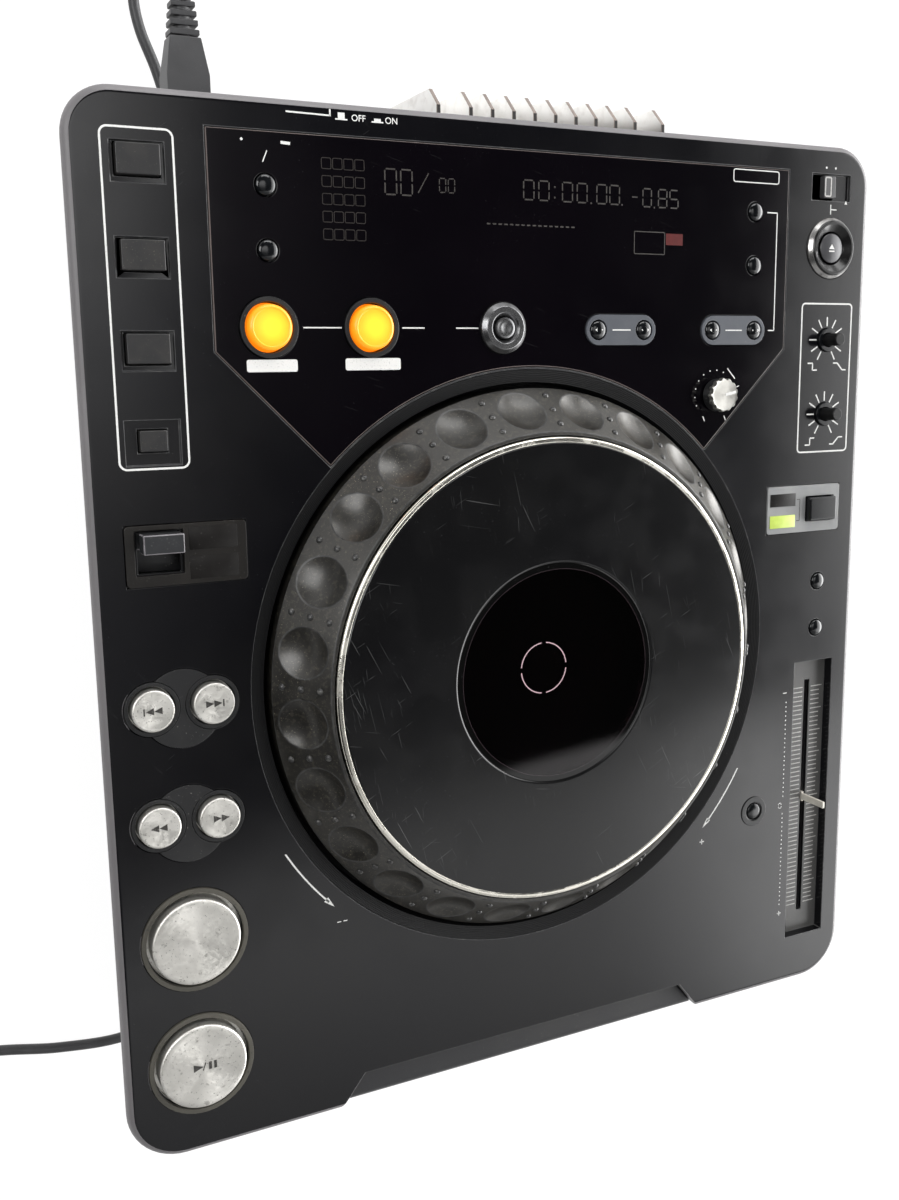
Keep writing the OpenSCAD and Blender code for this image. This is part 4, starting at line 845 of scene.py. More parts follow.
def make_cord():
    route = smooth_route(cord_route())
    radii = [COIL_MIDDLE_R + k * COIL_STEP for k in (1.5, 0.5, -0.5, -1.5)]
    upper = COIL_LOW + COIL_STEP
    lanes = [(r, COIL_LOW) for r in radii] + [(r, upper) for r in reversed(radii)]
    turns = coil_turns(COIL, lanes, -90, 180)
    plug_low, plug_high = low("mains_plug"), high("mains_plug")
    end = Vector((turns[-1].x, PLUG_ENTRY, (plug_low.z + plug_high.z) / 2))
    points = route + turns[1:] + [turns[-1].lerp(end, 0.5), end]
    curve = bpy.data.curves.new("mains_lead", "CURVE")
    curve.dimensions = "3D"
    curve.bevel_depth = CORD_D / 2 * MM
    curve.bevel_resolution = 3
    curve.use_fill_caps = True
    spline = curve.splines.new("POLY")
    spline.points.add(len(points) - 1)
    for target, point in zip(spline.points, points):
        target.co = (*(point * MM), 1)
    spline.use_smooth = True
    cord = bpy.data.objects.new("mains_lead", curve)
    bpy.context.scene.collection.objects.link(cord)
    finish = lead_rubber()
    curve.materials.append(finish)
    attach(cord, "player")
    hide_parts("mains_cord", "cord_coil")
    connector = dressed("cord_connector", finish, 0.35, 2)
    plug = dressed("mains_plug", finish, 0.6, 3)


# --- Printed marks ---


class Marks:
    """Flat marks on one face, drawn stroke by stroke and given a hair of thickness at the end."""

    def __init__(self, name, height):
        self.piece = bpy.data.objects.new(name, bpy.data.meshes.new(name))
        bpy.context.scene.collection.objects.link(self.piece)
        take(self.piece)
        edit()
        self.z = (height - 0.02) * MM

    def spot(self, point):
        return Vector((point[0] * MM, point[1] * MM, self.z))

    def stretch(self, centre, length, width, heading):
        """Stretches the newest shape along X and Y and turns it, anticlockwise in radians."""
        bpy.ops.transform.resize(value=(length, width, 1), center_override=centre)
        if heading:
            bpy.ops.transform.rotate(value=-heading, orient_axis="Z", center_override=centre)

    def bar(self, a, b, width=0.5):
        a, b = self.spot(a), self.spot(b)
        run = b - a
        centre = (a + b) / 2
        bpy.ops.mesh.primitive_plane_add(size=MM, location=centre)
        self.stretch(centre, run.length / MM, width, math.atan2(run.y, run.x))

    def path(self, points, width=0.5):
        for a, b in zip(points, points[1:]):
            self.bar(a, b, width)

    def disc(self, centre, r, sides=20):
        bpy.ops.mesh.primitive_circle_add(
            vertices=sides, radius=r * MM, fill_type="NGON", location=self.spot(centre)
        )

    def triangle(self, centre, length, width, heading=0.0):
        """Points towards heading, in degrees from +X."""
        centre = self.spot(centre)
        bpy.ops.mesh.primitive_circle_add(vertices=3, radius=MM, fill_type="NGON", location=centre)
        self.stretch(centre, width / 1.732, length / 1.5, math.radians(heading - 90))

    def arc(self, centre, r, start, end, width=0.5):
        """Part of a ring from one angle to another, in degrees."""
        middle_spot = self.spot(centre)
        turn = math.radians(start)
        out = Vector((math.cos(turn), math.sin(turn), 0))
        ahead = Vector((-out.y, out.x, 0)) * (1 if end > start else -1)
        sliver = 0.02 * MM
        centre = middle_spot + out * r * MM + ahead * sliver / 2
        bpy.ops.mesh.primitive_plane_add(size=MM, location=centre)
        self.stretch(centre, width, sliver / MM, turn)
        mesh = bmesh.from_edit_mesh(self.piece.data)
        fresh = [vert for vert in mesh.verts if vert.select]
        for face in mesh.faces:
            face.select = False
        for vert in fresh:
            vert.select = (vert.co - middle_spot).dot(ahead) > sliver * 0.9
        mesh.select_flush(True)
        bmesh.update_edit_mesh(self.piece.data)
        steps = max(3, int(abs(end - start) / 360 * (24 + r * 2)))
        bpy.ops.mesh.spin(
            steps=steps, angle=-math.radians(end - start), center=middle_spot, axis=(0, 0, 1)
        )

    def plus(self, centre, size, width=0.4):
        (x, y), half = centre, size / 2
        self.bar((x - half, y), (x + half, y), width)
        self.bar((x, y - half), (x, y + half), width)

    def quarters(self, a, b, inset, r, width):
        """Quarter rings, one for each corner of a rectangle."""
        (x0, y0), (x1, y1) = a, b
        right, back, left, front = x1 - inset, y1 - inset, x0 + inset, y0 + inset
        for k, spot in enumerate(((right, back), (left, back), (left, front), (right, front))):
            self.arc(spot, r, 90 * k, 90 * k + 90, width)

    def frame(self, a, b, r, width=0.5):
        """Outline of a rectangle with round corners."""
        (x0, y0), (x1, y1) = a, b
        self.bar((x0 + r, y0), (x1 - r, y0), width)
        self.bar((x0 + r, y1), (x1 - r, y1), width)
        self.bar((x0, y0 + r), (x0, y1 - r), width)
        self.bar((x1, y0 + r), (x1, y1 - r), width)
        self.quarters(a, b, r, r, width)

    def tag(self, a, b, r):
        """Filled rectangle with round corners."""
        (x0, y0), (x1, y1) = a, b
        self.bar((x0 + r, (y0 + y1) / 2), (x1 - r, (y0 + y1) / 2), y1 - y0)
        for x in (x0 + r / 2, x1 - r / 2):
            self.bar((x, y0 + r), (x, y1 - r), r)
        self.quarters(a, b, r, r / 2, r)

    def digit(self, number, corner, width, height, stroke=0.4):
        """A digit of seven bars, whose lower left corner is given."""
        x, y = corner
        x1, y1, ym = x + width, y + height, y + height / 2
        gap = stroke * 0.8
        lines = {
            "a": ((x + gap, y1), (x1 - gap, y1)), "b": ((x1, ym + gap), (x1, y1 - gap)),
            "c": ((x1, y + gap), (x1, ym - gap)), "d": ((x + gap, y), (x1 - gap, y)),
            "e": ((x, y + gap), (x, ym - gap)), "f": ((x, ym + gap), (x, y1 - gap)),
            "g": ((x + gap, ym), (x1 - gap, ym)),
        }
        for name in {0: "abcdef", 5: "afgcd", 8: "abcdefg"}[number]:
            self.bar(*lines[name], stroke)

    def done(self, body, finish, thickness=0.06):
        bpy.ops.mesh.select_all(action="SELECT")
        bpy.ops.mesh.remove_doubles(threshold=0.0000005)
        bpy.ops.mesh.normals_make_consistent(inside=False)
        bpy.ops.mesh.extrude_region_move(TRANSFORM_OT_translate={"value": (0, 0, thickness * MM)})
        bpy.ops.mesh.select_all(action="SELECT")
        bpy.ops.mesh.normals_make_consistent(inside=False)
        leave()
        return place(self.piece, body, finish)


# --- Stage ---


def backdrop_world():
    """White behind the object. What the object reflects is a pale room with a dark side and ceiling."""
    world = bpy.data.worlds.new("studio")
    bpy.context.scene.world = world
    n = Nodes(world)
    way = n.node("ShaderNodeTexCoord").outputs["Generated"]

    def along(direction):
        """How far the direction of a ray goes along another one."""
        dot = n.node("ShaderNodeVectorMath", operation="DOT_PRODUCT")
        n.link(way, dot.inputs[0])
        n.link(direction, dot.inputs[1])
        return dot.outputs["Value"]

    up, x, y, front = (along(axis) for axis in ((0, 0, 1), (1, 0, 0), (0, 1, 0), (0, -1, 0)))
    front_wall = n.calc(
        "MULTIPLY",
        n.range(along((0.31, -1, 0)), 0.452, 0.464), n.range(along((0.45, -1, 0)), 0.44, 0.475),
        n.range(front, 0.42, 0.56, 1, 0.4), n.range(x, 0.5, 0.64, 1.1, 3.4),
    )
    ceiling = n.calc(
        "MULTIPLY",
        n.range(up, 0.9, 0.95), n.range(x, 0.16, 0.27, 1, 0.06), n.range(y, -0.2, 0.25, 0.25, 2.2),
    )
    window = n.calc("ADD", n.range(x, 0.655, 0.71, 0, 3.6), n.range(x, 0.8, 0.95, 0, 6))
    right_wall = n.calc("MULTIPLY", window, n.range(front, 0.42, 0.58, 1, 0.15))
    back_side = n.range(along((0.35, 0.9, 0)), -0.1, 0.4)
    horizon = n.calc("MULTIPLY", back_side, n.range(up, 0.12, 0.5, 1.3, 0))
    darkest = 0.02
    level = n.calc("MAXIMUM", front_wall, ceiling, right_wall, horizon, darkest)
    seen = n.node("ShaderNodeLightPath").outputs["Is Camera Ray"]
    background = n.tree.nodes["Background"]
    n.link(n.mix("FLOAT", seen, level, 1), background.inputs["Strength"])
    n.link((1, 1, 1, 1), background.inputs["Color"])


def floor_white():
    """Pale floor that shows white and keeps a soft shadow."""
    material = bpy.data.materials.new("floor_white")
    n = Nodes(material)
    shader = n.tree.nodes["Principled BSDF"]
    n.link((0.85, 0.85, 0.85, 1), shader.inputs["Base Color"])
    n.link(0.7, shader.inputs["Roughness"])
    glow = n.node("ShaderNodeEmission")
    n.link(1.1, glow.inputs["Strength"])
    rays = n.node("ShaderNodeLightPath").outputs
    seen = n.calc("MAXIMUM", *(rays[f"Is {kind} Ray"] for kind in ("Camera", "Glossy", "Transmission")))
    mix = n.node("ShaderNodeMixShader")
    n.link(n.calc("MULTIPLY", seen, 0.85), mix.inputs["Fac"])
    n.link(shader.outputs[0], mix.inputs[1])
    n.link(glow.outputs[0], mix.inputs[2])
    n.link(mix.outputs[0], n.tree.nodes["Material Output"].inputs["Surface"])
    return material


def area_lamp(name, at, size, power):
    """A soft white lamp that looks at the player."""
    data = bpy.data.lights.new(name, "AREA")
    data.shape = "RECTANGLE"
    data.size, data.size_y = size
    data.energy = power
    lamp = bpy.data.objects.new(name, data)
    bpy.context.scene.collection.objects.link(lamp)
    lamp.location = at
    lamp.rotation_euler = (Vector((0, 0, 0.08)) - Vector(at)).to_track_quat("-Z", "Y").to_euler()
    lamp.visible_camera = False


def make_stage():
    backdrop_world()
    deselect()
    bpy.ops.mesh.primitive_plane_add(size=8, location=(0, 0, 0))
    floor = settle(bpy.context.object, "floor")
    floor.data.materials.append(floor_white())
    area_lamp("left_light", (-1.3, 0.5, 1.1), (0.9, 0.9), 16)
    area_lamp("back_light", (0.3, 1.5, 0.8), (1.2, 0.6), 13)


# --- Case and inner parts ---


# A face whose normal rises more than this counts as level
LEVEL = 0.93
SMALL_PANEL_BUTTONS = (
    "time_button", "text_button", "memory_button", "delete_button", "folder_back_button",
    "folder_next_button", "call_back_button", "call_next_button",
)
PANEL_BUTTONS = SMALL_PANEL_BUTTONS + (
    "loop_in_button", "loop_out_button", "loop_exit_button", "adjust_knob",
)


def make_case():
    x, y, _ = middle("jog_wheel")
    make_cover()
    dressed("base_tray", black_steel(), 0.15)
    dressed("slot_bezel", front_plastic(), 0.25)
    make_fins()
    make_panel()
    dressed("jog_well", bezel_grooved(x, y), 0.2)
    dressed("feet", rubber(), 0.4)


def make_cover():
    """Cover whose fader's recess has its own finish and whose outer skirt has a grey finish that paints
    the light caught by its black grained plastic.
    """
    cover = dressed("top_cover", cover_plastic(), 0.3, 2, 35, worn_cover_edge())
    cover.data.materials.append(skirt_plastic())
    cover.data.materials.append(recess_plastic())
    a, b = low("top_cover"), high("top_cover")
    fader_x, fader_y = middle("tempo_lever")[:2]
    edge_band, skirt_top = 9, DECK - 12
    recess_top, recess_side, recess_back = DECK - 3, 12, fader_y + 70
    for face in cover.data.polygons:
        spot, slope = face.center / MM, face.normal.z
        from_edge = min(spot.x - a.x, b.x - spot.x, spot.y - a.y, b.y - spot.y)
        beside_fader = abs(spot.x - fader_x) < recess_side and spot.y < recess_back
        # the outer band and the skirt get the grey finish of painted light
        if abs(slope) < LEVEL and from_edge < edge_band or spot.z < skirt_top:
            face.material_index = 2
        elif slope > 0.5 and spot.z < recess_top and beside_fader:
            face.material_index = 3


def make_fins():
    """Fins whose level tops carry painted shade and whose sloping tops carry a painted brown highlight.
    """
    fins = dressed("cooling_fins", fin_metal(), 0.2)
    fins.data.materials.append(fin_crest("fin_crest_dark", (0.012, 0.010, 0.009)))
    fins.data.materials.append(fin_crest("fin_crest_worn", (0.20, 0.165, 0.145)))
    for face in fins.data.polygons:
        # level tops get the painted shade, sloping tops the painted highlight
        if face.normal.z > 0.3:
            face.material_index = 1 if face.normal.z > LEVEL else 2


def make_panel():
    """Glossy panel with paler pinkish edges, but not at the holes of its buttons."""
    panel = dressed("display_panel", panel_gloss(), 0.4, 2, 35, panel_edge())
    spots = [Vector(middle(node)[:2]) for node in PANEL_BUTTONS]
    reach_of_hole = 12
    for face in panel.data.polygons:
        if min((face.center.xy / MM - spot).length for spot in spots) < reach_of_hole:
            face.material_index = 0


# grey base colour: painted light on the black skirt plastic
def skirt_plastic():
    f = Finish("skirt_plastic", (0.15, 0.143, 0.148), 0.45)
    f.clouds((0.19, 0.18, 0.185), 30)
    f.dust(0.4, (0.2, 0.2, 0.19), 0.5, 0.66)
    f.grain(0.6, 0.03)
    return f.material


def recess_plastic():
    f = Finish("recess_plastic", (0.08, 0.079, 0.077), 0.36)
    f.clouds((0.12, 0.118, 0.114), 20)
    f.dust(0.4)
    f.grain(0.4, 0.01)
    return f.material


def make_inside():
    """Plain finishes for what the case hides."""
    boards = ("display_board", "circuit_boards")
    metal = (
        "drive_frame", "disc_spindle", "feed_roller", "laser_sled", "lead_screw", "fader_unit", "screws",
    )
    for finish, nodes in ((board_green(), boards), (steel(), metal)):
        for node in nodes:
            materials = frame["nodes"][node].data.materials
            materials.clear()
            materials.append(finish)


# --- Jog wheel ---

DIMPLES = 24
FIRST_DIMPLE = 5.2
# Radius and height above the deck, at the flank's foot and at its top
FLANK = ((102.8, 0.4), (87.5, 18.0))
WINDOW_R = 40.8


def make_studs(x, y):
    """Three small studs between each two dimples."""
    (r0, h0), (r1, h1) = FLANK
    lean = math.atan2(r0 - r1, h1 - h0)
    shares = (0.18, 0.5, 0.82)
    deselect()
    bpy.ops.mesh.primitive_uv_sphere_add(
        segments=12, ring_count=6, radius=1.25 * MM, scale=(1, 1, 0.62),
        location=place_on_flank(x, y, shares[0]), rotation=(0, math.pi / 2 - lean, 0),
    )
    studs = settle(bpy.context.object, "wheel_studs")
    edit()
    bpy.ops.mesh.select_all(action="SELECT")
    for last, share in zip(shares, shares[1:]):
        step = [p - q for p, q in zip(place_on_flank(x, y, share), place_on_flank(x, y, last))]
        bpy.ops.mesh.duplicate_move(TRANSFORM_OT_translate={"value": step})
    bpy.ops.mesh.select_all(action="SELECT")
    centre = (x * MM, y * MM, 0)
    first = math.radians(FIRST_DIMPLE + 180 / DIMPLES)
    pitch = 2 * math.pi / DIMPLES
    bpy.ops.transform.rotate(value=-first, orient_axis="Z", center_override=centre)
    bpy.ops.mesh.spin(
        steps=DIMPLES - 1, dupli=True, angle=2 * math.pi - pitch, center=centre, axis=(0, 0, 1)
    )
    leave()
    smooth(studs, 60)
    place(studs, "jog", stud_plastic())


def place_on_flank(x, y, share):
    """A place a share of the way up the wheel's flank, at its right."""
    (r0, h0), (r1, h1) = FLANK
    return (x + r0 + (r1 - r0) * share) * MM, y * MM, (DECK + h0 + (h1 - h0) * share) * MM


def stud_plastic():
    f = Finish("stud_plastic", (0.035, 0.035, 0.035), 0.3)
    f.paint(f.spots(1.2, 3, 0.5, 0.62, 0.6), (0.12, 0.118, 0.11))
    f.grain(0.4, 0.01)
    return f.material


def make_jog():
    dressed("jog_wheel", wheel_plastic(), 0.35, 2, 20, wheel_rim_wear())
    x, y, top = middle("jog_sheet")
    make_studs(x, y)
    make_platter(x, y)
    seat = low("jog_sheet").z
    outer, window = half_width("jog_sheet"), WINDOW_R
    sheet = turned("platter_sheet", (x, y), [
        (window + 0.05, seat), (outer, seat), (outer, top - 0.25), (outer - 0.25, top),
        (window + 0.9, top), (window + 0.05, top - 0.5),
    ], 192, hollow=True)
    settle_shading(sheet)
    place(sheet, "jog", sheet_plastic(), ["jog_sheet"])
    glass = turned("platter_window", (x, y), [
        (window, seat), (window, top - 0.6), (window - 0.3, top - 0.42),
    ], 128)
    settle_shading(glass)
    place(glass, "jog", window_glass(x, y), ["jog_sheet"])
    dressed("jog_display", display_glass(), 0.3)
    circle = Marks("jog_display_circle", high("jog_display").z)
    for quarter in range(4):
        circle.arc((x, y), 9.6, 90 * quarter + 6, 90 * quarter + 84, 0.4)
    circle.done("player", lamp_pale())


def make_platter(x, y):
    """Bright platter ring with a rolled rim."""
    a, b = low("jog_platter"), high("jog_platter")
    outer, inner = half_width("jog_platter"), WINDOW_R - 1.6
    sheet = half_width("jog_sheet") + 0.1
    seat = low("jog_sheet").z
    ring = turned("platter_ring", (x, y), [
        (inner, a.z), (outer, a.z), (outer, b.z - 1.0), (outer - 0.12, b.z - 0.55),
        (outer - 0.4, b.z - 0.2), (outer - 0.8, b.z), (sheet + 0.25, b.z), (sheet, b.z - 0.15),
        (sheet, seat - 0.01), (inner, seat - 0.01),
    ], 192, hollow=True)
    settle_shading(ring, 40)
    place(ring, "jog", chrome(), ["jog_platter"])


# --- Trims ---


def trim_finishes():
    """Each trim's finish, by its width in millimetres."""
    gloss, black, metal = small_gloss(), black_plastic(), dark_chrome()
    x, y, _ = middle("eject_button")
    eject = eject_metal("eject_rim", x, y, 10.8, (0.008, 0.008, 0.008), (0.42, 0.41, 0.40))
    return {
        37.2: ring_olive(), 27.0: plate_brown(), 18.4: black, 19.8: black, 18.1: metal,
        31.0: plate_pill(), 24.0: eject, 40.0: plate_direction(), 38.4: plate_mode(),
        9.3: gloss, 13.0: black,
    }


def clear_edge_wear_and_highlight(part):
    """Takes the edge's wear and painted highlight off the cover's seat under a trim."""
    room = 1.5
    (x0, x1), (y0, y1) = reach(part, 0), reach(part, 1)
    for face in bpy.data.objects["top_cover_skin"].data.polygons:
        spot = face.center / MM
        near = x0 - room < spot.x < x1 + room and y0 - room < spot.y < y1 + room
        if near and face.material_index == 1:
            face.material_index = 0


def make_trims():
    finishes = trim_finishes()
    for i, part in enumerate(loose_parts("control_trims", "trim")):
        left, right = reach(part, 0)
        nearest = min(finishes, key=lambda width: abs(width - (right - left)))
        clear_edge_wear_and_highlight(part)
        soften(part, 0.25, 2)
        settle_shading(part)
        part.name = f"trim_{i:02d}"
        place(part, "player", finishes[nearest], ["control_trims"])


# --- Buttons ---

FLANGE_TOP = DECK - 3.75
FLANGE = 1.2
STEM_R = 1.5
TRANSPORT = ("play_button", "cue_button")
SEARCH = ("search_back_button", "search_forward_button", "track_back_button", "track_next_button")
SMALL = SMALL_PANEL_BUTTONS + ("range_button", "master_button")
# Outlines of caps, as in round_cap
EXIT_CAP = [(1, 0.7), (0.94, 0.25), (0.8, 0.05), (0.6, 0), (0.45, 0.15), (0.02, 0.3)]
EJECT_CAP = [(1, 0.6), (0.96, 0.2), (0.9, 0), (0.02, 0)]
LAMP_CAP = [
    (1, 1.6), (0.985, 0.9), (0.94, 0.4), (0.87, 0.12), (0.84, 0.1), (0.82, 0.22), (0.78, 0.24),
    (0.6, 0.1), (0.3, 0.01), (0.02, 0),
]


def button_under(node, r):
    """Stem and flange that carry a round button's cap."""
    return [(STEM_R, low(node).z), (STEM_R, FLANGE_TOP - FLANGE), (r + FLANGE, FLANGE_TOP - FLANGE),
            (r + FLANGE, FLANGE_TOP), (r, FLANGE_TOP)]


def button_r(node):
    return half_width(node) - FLANGE


def round_cap(node, cap, finish, segments=64):
    """A round button with a cap drawn by pairs of (radius share, drop below its top)."""
    x, y, top = middle(node)
    r = button_r(node)
    rings = button_under(node, r) + [(max(share * r, 0.1), top - drop) for share, drop in cap]
    piece = turned(node + "_cap", (x, y), rings, segments)
    smooth(piece, 40)
    return place(piece, BODY_OF[node], finish, [node])


def spun_cap(r):
    """Flat spun metal cap with a rolled rim and a slight dish."""
    rim = min(0.9, r * 0.09)
    rolled = [(1 - rim / r * (1 - math.cos(math.radians(a))), rim * (1 - math.sin(math.radians(a))))
              for a in (0, 22, 45, 68, 90)]
    return rolled + [(0.86, 0.02), (0.7, 0.12), (0.5, 0.22), (0.25, 0.3), (0.02, 0.32)]


def domed_cap(rise):
    """Cap with a domed top."""
    steps = [math.radians(a) for a in range(0, 91, 10)]
    return [(math.cos(a), rise * (1 - math.sin(a))) for a in steps]


def make_round_buttons():
    silver, gloss = button_silver(), small_gloss()
    for node in TRANSPORT + SEARCH:
        round_cap(node, spun_cap(button_r(node)), silver, 96)
    for node in SMALL:
        round_cap(node, domed_cap(1.1), gloss, 40)
    round_cap("reset_button", domed_cap(0.5), gloss, 40)
    round_cap("loop_exit_button", EXIT_CAP, dark_chrome(), 48)
    x, y, _ = middle("eject_button")
    eject = eject_metal("eject_cap", x, y, 5.8, (0.075, 0.075, 0.08), (0.006, 0.006, 0.006))
    round_cap("eject_button", EJECT_CAP, eject)
    for node in ("loop_in_button", "loop_out_button"):
        x, y, _ = middle(node)
        lamp = lamp_amber(node + "_lamp", x, y, button_r(node))
        round_cap(node, LAMP_CAP, lamp)


def make_square_buttons():
    pad = pad_plastic()
    for node in ("hot_cue_a", "hot_cue_b", "hot_cue_c", "rec_button"):
        dressed(node, pad, 0.35, 3)
    dressed("mode_button", small_gloss(), 0.8, 4)


# --- Switches, knobs and the tempo lever ---


def make_switches():
    dressed("direction_lever", lever_cap(), 0.4, 3, 35, lever_edge())
    make_shutter()
    dressed("lock_switch", cap_grey(), 0.35, 3)
    dressed("power_button", black_plastic(), 0.4, 3)
    shaft = shaft_black()
    for node in ("brake_shaft", "start_shaft"):
        dressed(node, shaft, 0.4, 3)
    paint_lock_rib_highlight()
    dressed("tempo_lever", blade_metal(), 0.25, 3)
    make_adjust_knob()


def make_shutter():
    """Plate that slides under the deck with the direction lever and keeps its slot dark."""
    x, y, _ = middle("direction_lever")
    half_wide, half_deep = 8.4, 10.4
    shutter = rounded_block(
        "direction_shutter",
        (x - half_wide, y - half_deep, DECK - 6.6), (x + half_wide, y + half_deep, DECK - 5.4),
    )
    place(shutter, "direction_lever", black_plastic())


def paint_lock_rib_highlight():
    """Grey frame painted on the lock switch as a highlight along the edges of its narrow rib."""
    x, y, top = middle("lock_switch")
    m = Marks("lock_switch_rib", top)
    m.frame((x - 2.5, y - 3.6), (x + 0.4, y + 3.6), 0.6, 0.55)
    m.done("lock_switch", print_grey(), 0.07)


def shaft_black():
    f = Finish("shaft_black", (0.004, 0.004, 0.0045), 0.5, 0.0, 0.3)
    f.clouds((0.008, 0.008, 0.008), 4)
    f.dust(0.3)
    return f.material


def lever_cap():
    f = Finish("lever_cap", (0.018, 0.019, 0.021), 0.34)
    f.clouds((0.027, 0.028, 0.030), 5)
    f.dust(0.4)
    f.grain(0.3, 0.008)
    return f.material


def lever_edge():
    f = Finish("lever_edge", (0.16, 0.15, 0.16), 0.26)
    f.clouds((0.25, 0.24, 0.25), 4)
    f.grain(0.3, 0.008)
    return f.material


def make_adjust_knob():
    """Black knob with a fluted silver cap and a white line."""
    x, y, top = middle("adjust_knob")
    r = half_width("adjust_knob")
    collar = top - 2.4
    body = turned("adjust_knob_body", (x, y), [
        (3, low("adjust_knob").z), (3, DECK + 0.5), (r - 0.6, DECK + 0.5), (r - 0.3, DECK + 0.9),
        (r - 0.55, collar), (0.2, collar),
    ], 64)
    smooth(body)
    place(body, "adjust_knob", black_plastic(), ["adjust_knob"])
    cap = turned("adjust_knob_cap", (x, y), [
        (r - 0.3, collar), (r, collar + 0.2), (r, top - 0.8), (r - 0.2, top - 0.3), (r - 0.6, top),
        (r - 1.3, top - 0.1), (0.2, top - 0.1),
    ], 96)
    cut_flutes(cap, x, y, r)
    settle_shading(cap, 40)
    place(cap, "adjust_knob", knob_silver(), ["adjust_knob"])
    pointer = Marks("adjust_knob_pointer", top - 0.1)
    heading = math.radians(12)
    ray = Vector((math.cos(heading), math.sin(heading)))
    centre = Vector((x, y))
    pointer.bar(centre + ray * 0.3, centre + ray * (r - 1.1), 1.1)
    pointer.done("adjust_knob", print_white())


def cut_flutes(cap, x, y, r, flutes=13, flute_r=1.5, depth=0.8):
    """Cuts upright flutes round a cap."""
    deselect()
    bpy.ops.mesh.primitive_cylinder_add(
        vertices=24, radius=flute_r * MM, depth=14 * MM,
        location=((x + r + flute_r - depth) * MM, y * MM, (DECK + 8) * MM),
    )
    cutter = settle(bpy.context.object, "flute_cutter")
    edit()
    bpy.ops.mesh.select_all(action="SELECT")
    bpy.ops.mesh.spin(
        steps=flutes - 1, dupli=True, angle=2 * math.pi * (flutes - 1) / flutes,
        center=(x * MM, y * MM, 0), axis=(0, 0, 1),
    )
    leave()
    take(cap)
    cut = cap.modifiers.new("flutes", "BOOLEAN")
    cut.object = cutter
    cut.operation = "DIFFERENCE"
    cut.solver = "EXACT"
    bpy.ops.object.modifier_apply(modifier=cut.name)
    bpy.data.objects.remove(cutter)


# --- Back ---


def make_back():
    """Sockets of the back wall, the phono and digital ones in a golden finish."""
    black, gold = black_plastic(), socket_gold()
    golden_from, golden_to = -65, 100
    for i, part in enumerate(loose_parts("rear_sockets", "socket")):
        left, right = reach(part, 0)
        is_golden = golden_from < (left + right) / 2 < golden_to
        soften(part, 0.2, 2)
        smooth(part)
        part.name = f"socket_{i}"
        place(part, "player", gold if is_golden else black, ["rear_sockets"])


# --- Marks on the deck ---


# Millimetres between two lines of the tempo scale
TEMPO_STEP = 2.0
# Thickness of the marks on the display tube
TUBE_MARK = 0.04


def deck_marks():
    white = print_white()
    column_marks(white)
    power_marks(white)
    speed_marks(white)
    lock_marks(white)
    tempo_marks(white)
    turn_marks(white)


def column_marks(white):
    """Frame round the hot cue pads and the record button."""
    m = Marks("left_column_marks", DECK)
    x, rec_y = middle("rec_button")[:2]
    top_y = middle("hot_cue_a")[1]
    m.frame((x - 11.0, rec_y - 8.8), (x + 11.2, top_y + 9.2), 2.4, 0.65)
    m.done("player", white)


def power_marks(white):
    """Pointer to the power button in the back wall, and a sign and a word for off and for on."""
    m = Marks("power_marks", DECK)
    y = 169.2
    m.bar((-89.8, y + 0.2), (-74.7, y), 0.5)
    m.bar((-74.7, y - 0.25), (-74.7, y + 2.0), 0.5)
    for x, rise in ((-70.8, 1.9), (-58.0, 0.9)):
        m.bar((x - 2.1, y - 0.9), (x + 2.1, y - 0.9), 0.45)
        m.bar((x - 1.2, y - 0.7 + rise / 2), (x + 1.2, y - 0.7 + rise / 2), rise)
    m.done("player", white)
    for text, x in (("OFF", -67.3), ("ON", -55.3)):
        word_mark("power_" + text.lower(), text, (x, y - 1.1), 2.9, white)


def speed_marks(white):
    """Frame round both speed shafts, rays round each, and signs for a sudden and a slow change."""
    m = Marks("speed_marks", DECK)
    x, brake_y = middle("brake_shaft")[:2]
    start_y = middle("start_shaft")[1]
    m.frame((x - 13.5, start_y - 15.5), (x + 12.9, brake_y + 14.4), 1.6, 0.65)
    inner_r, outer_r = 5.4, 9.2
    for y in (brake_y, start_y):
        for k in range(11):
            a = math.radians(-60 + 30 * k)
            out = Vector((math.cos(a), math.sin(a)))
            m.bar(Vector((x, y)) + out * inner_r, Vector((x, y)) + out * outer_r, 0.58)
    sudden = (-9.6, -7.0, -7.0, -4.6)
    for y, rise, slow in (
        (brake_y - 10.8, 1.4, (4.0, 6.2, 9.0, 11.0)), (start_y - 11.2, -1.4, (3.6, 5.6, 8.4, 10.6)),
    ):
        for across in (sudden, slow):
            m.path([(x + dx, y + dy) for dx, dy in zip(across, (rise, rise, -rise, -rise))], 0.55)
    m.done("player", white)


def lock_marks(white):
    """Small signs round the lock switch."""
    m = Marks("lock_marks", DECK)
    for x in (136.6, 141.4):
        m.disc((x, 165.0), 0.45)
    m.triangle((147.4, 151.8), 1.4, 1.4, 90)
    m.bar((139.5, 147.1), (139.5, 150.9), 0.4)
    m.bar((139.5, 149.0), (142.6, 149.0), 0.4)
    m.done("player", white)


def tempo_marks(white):
    """Dots beside the tempo lever, with a minus, a zero and a plus."""
    m = Marks("tempo_marks", DECK)
    x, zero_y = 125.3, middle("tempo_lever")[1]
    end = 50.2
    for k in range(-23, 24):
        if abs(k) > 1:
            m.disc((x, zero_y + TEMPO_STEP * k), 0.3, 10)
    m.bar((x - 1.9, zero_y + end), (x + 0.1, zero_y + end), 0.4)
    m.plus((x, zero_y - end), 2.0)
    m.digit(0, (x - 2.3, zero_y - 1.2), 1.5, 2.2, 0.35)
    m.done("player", white)


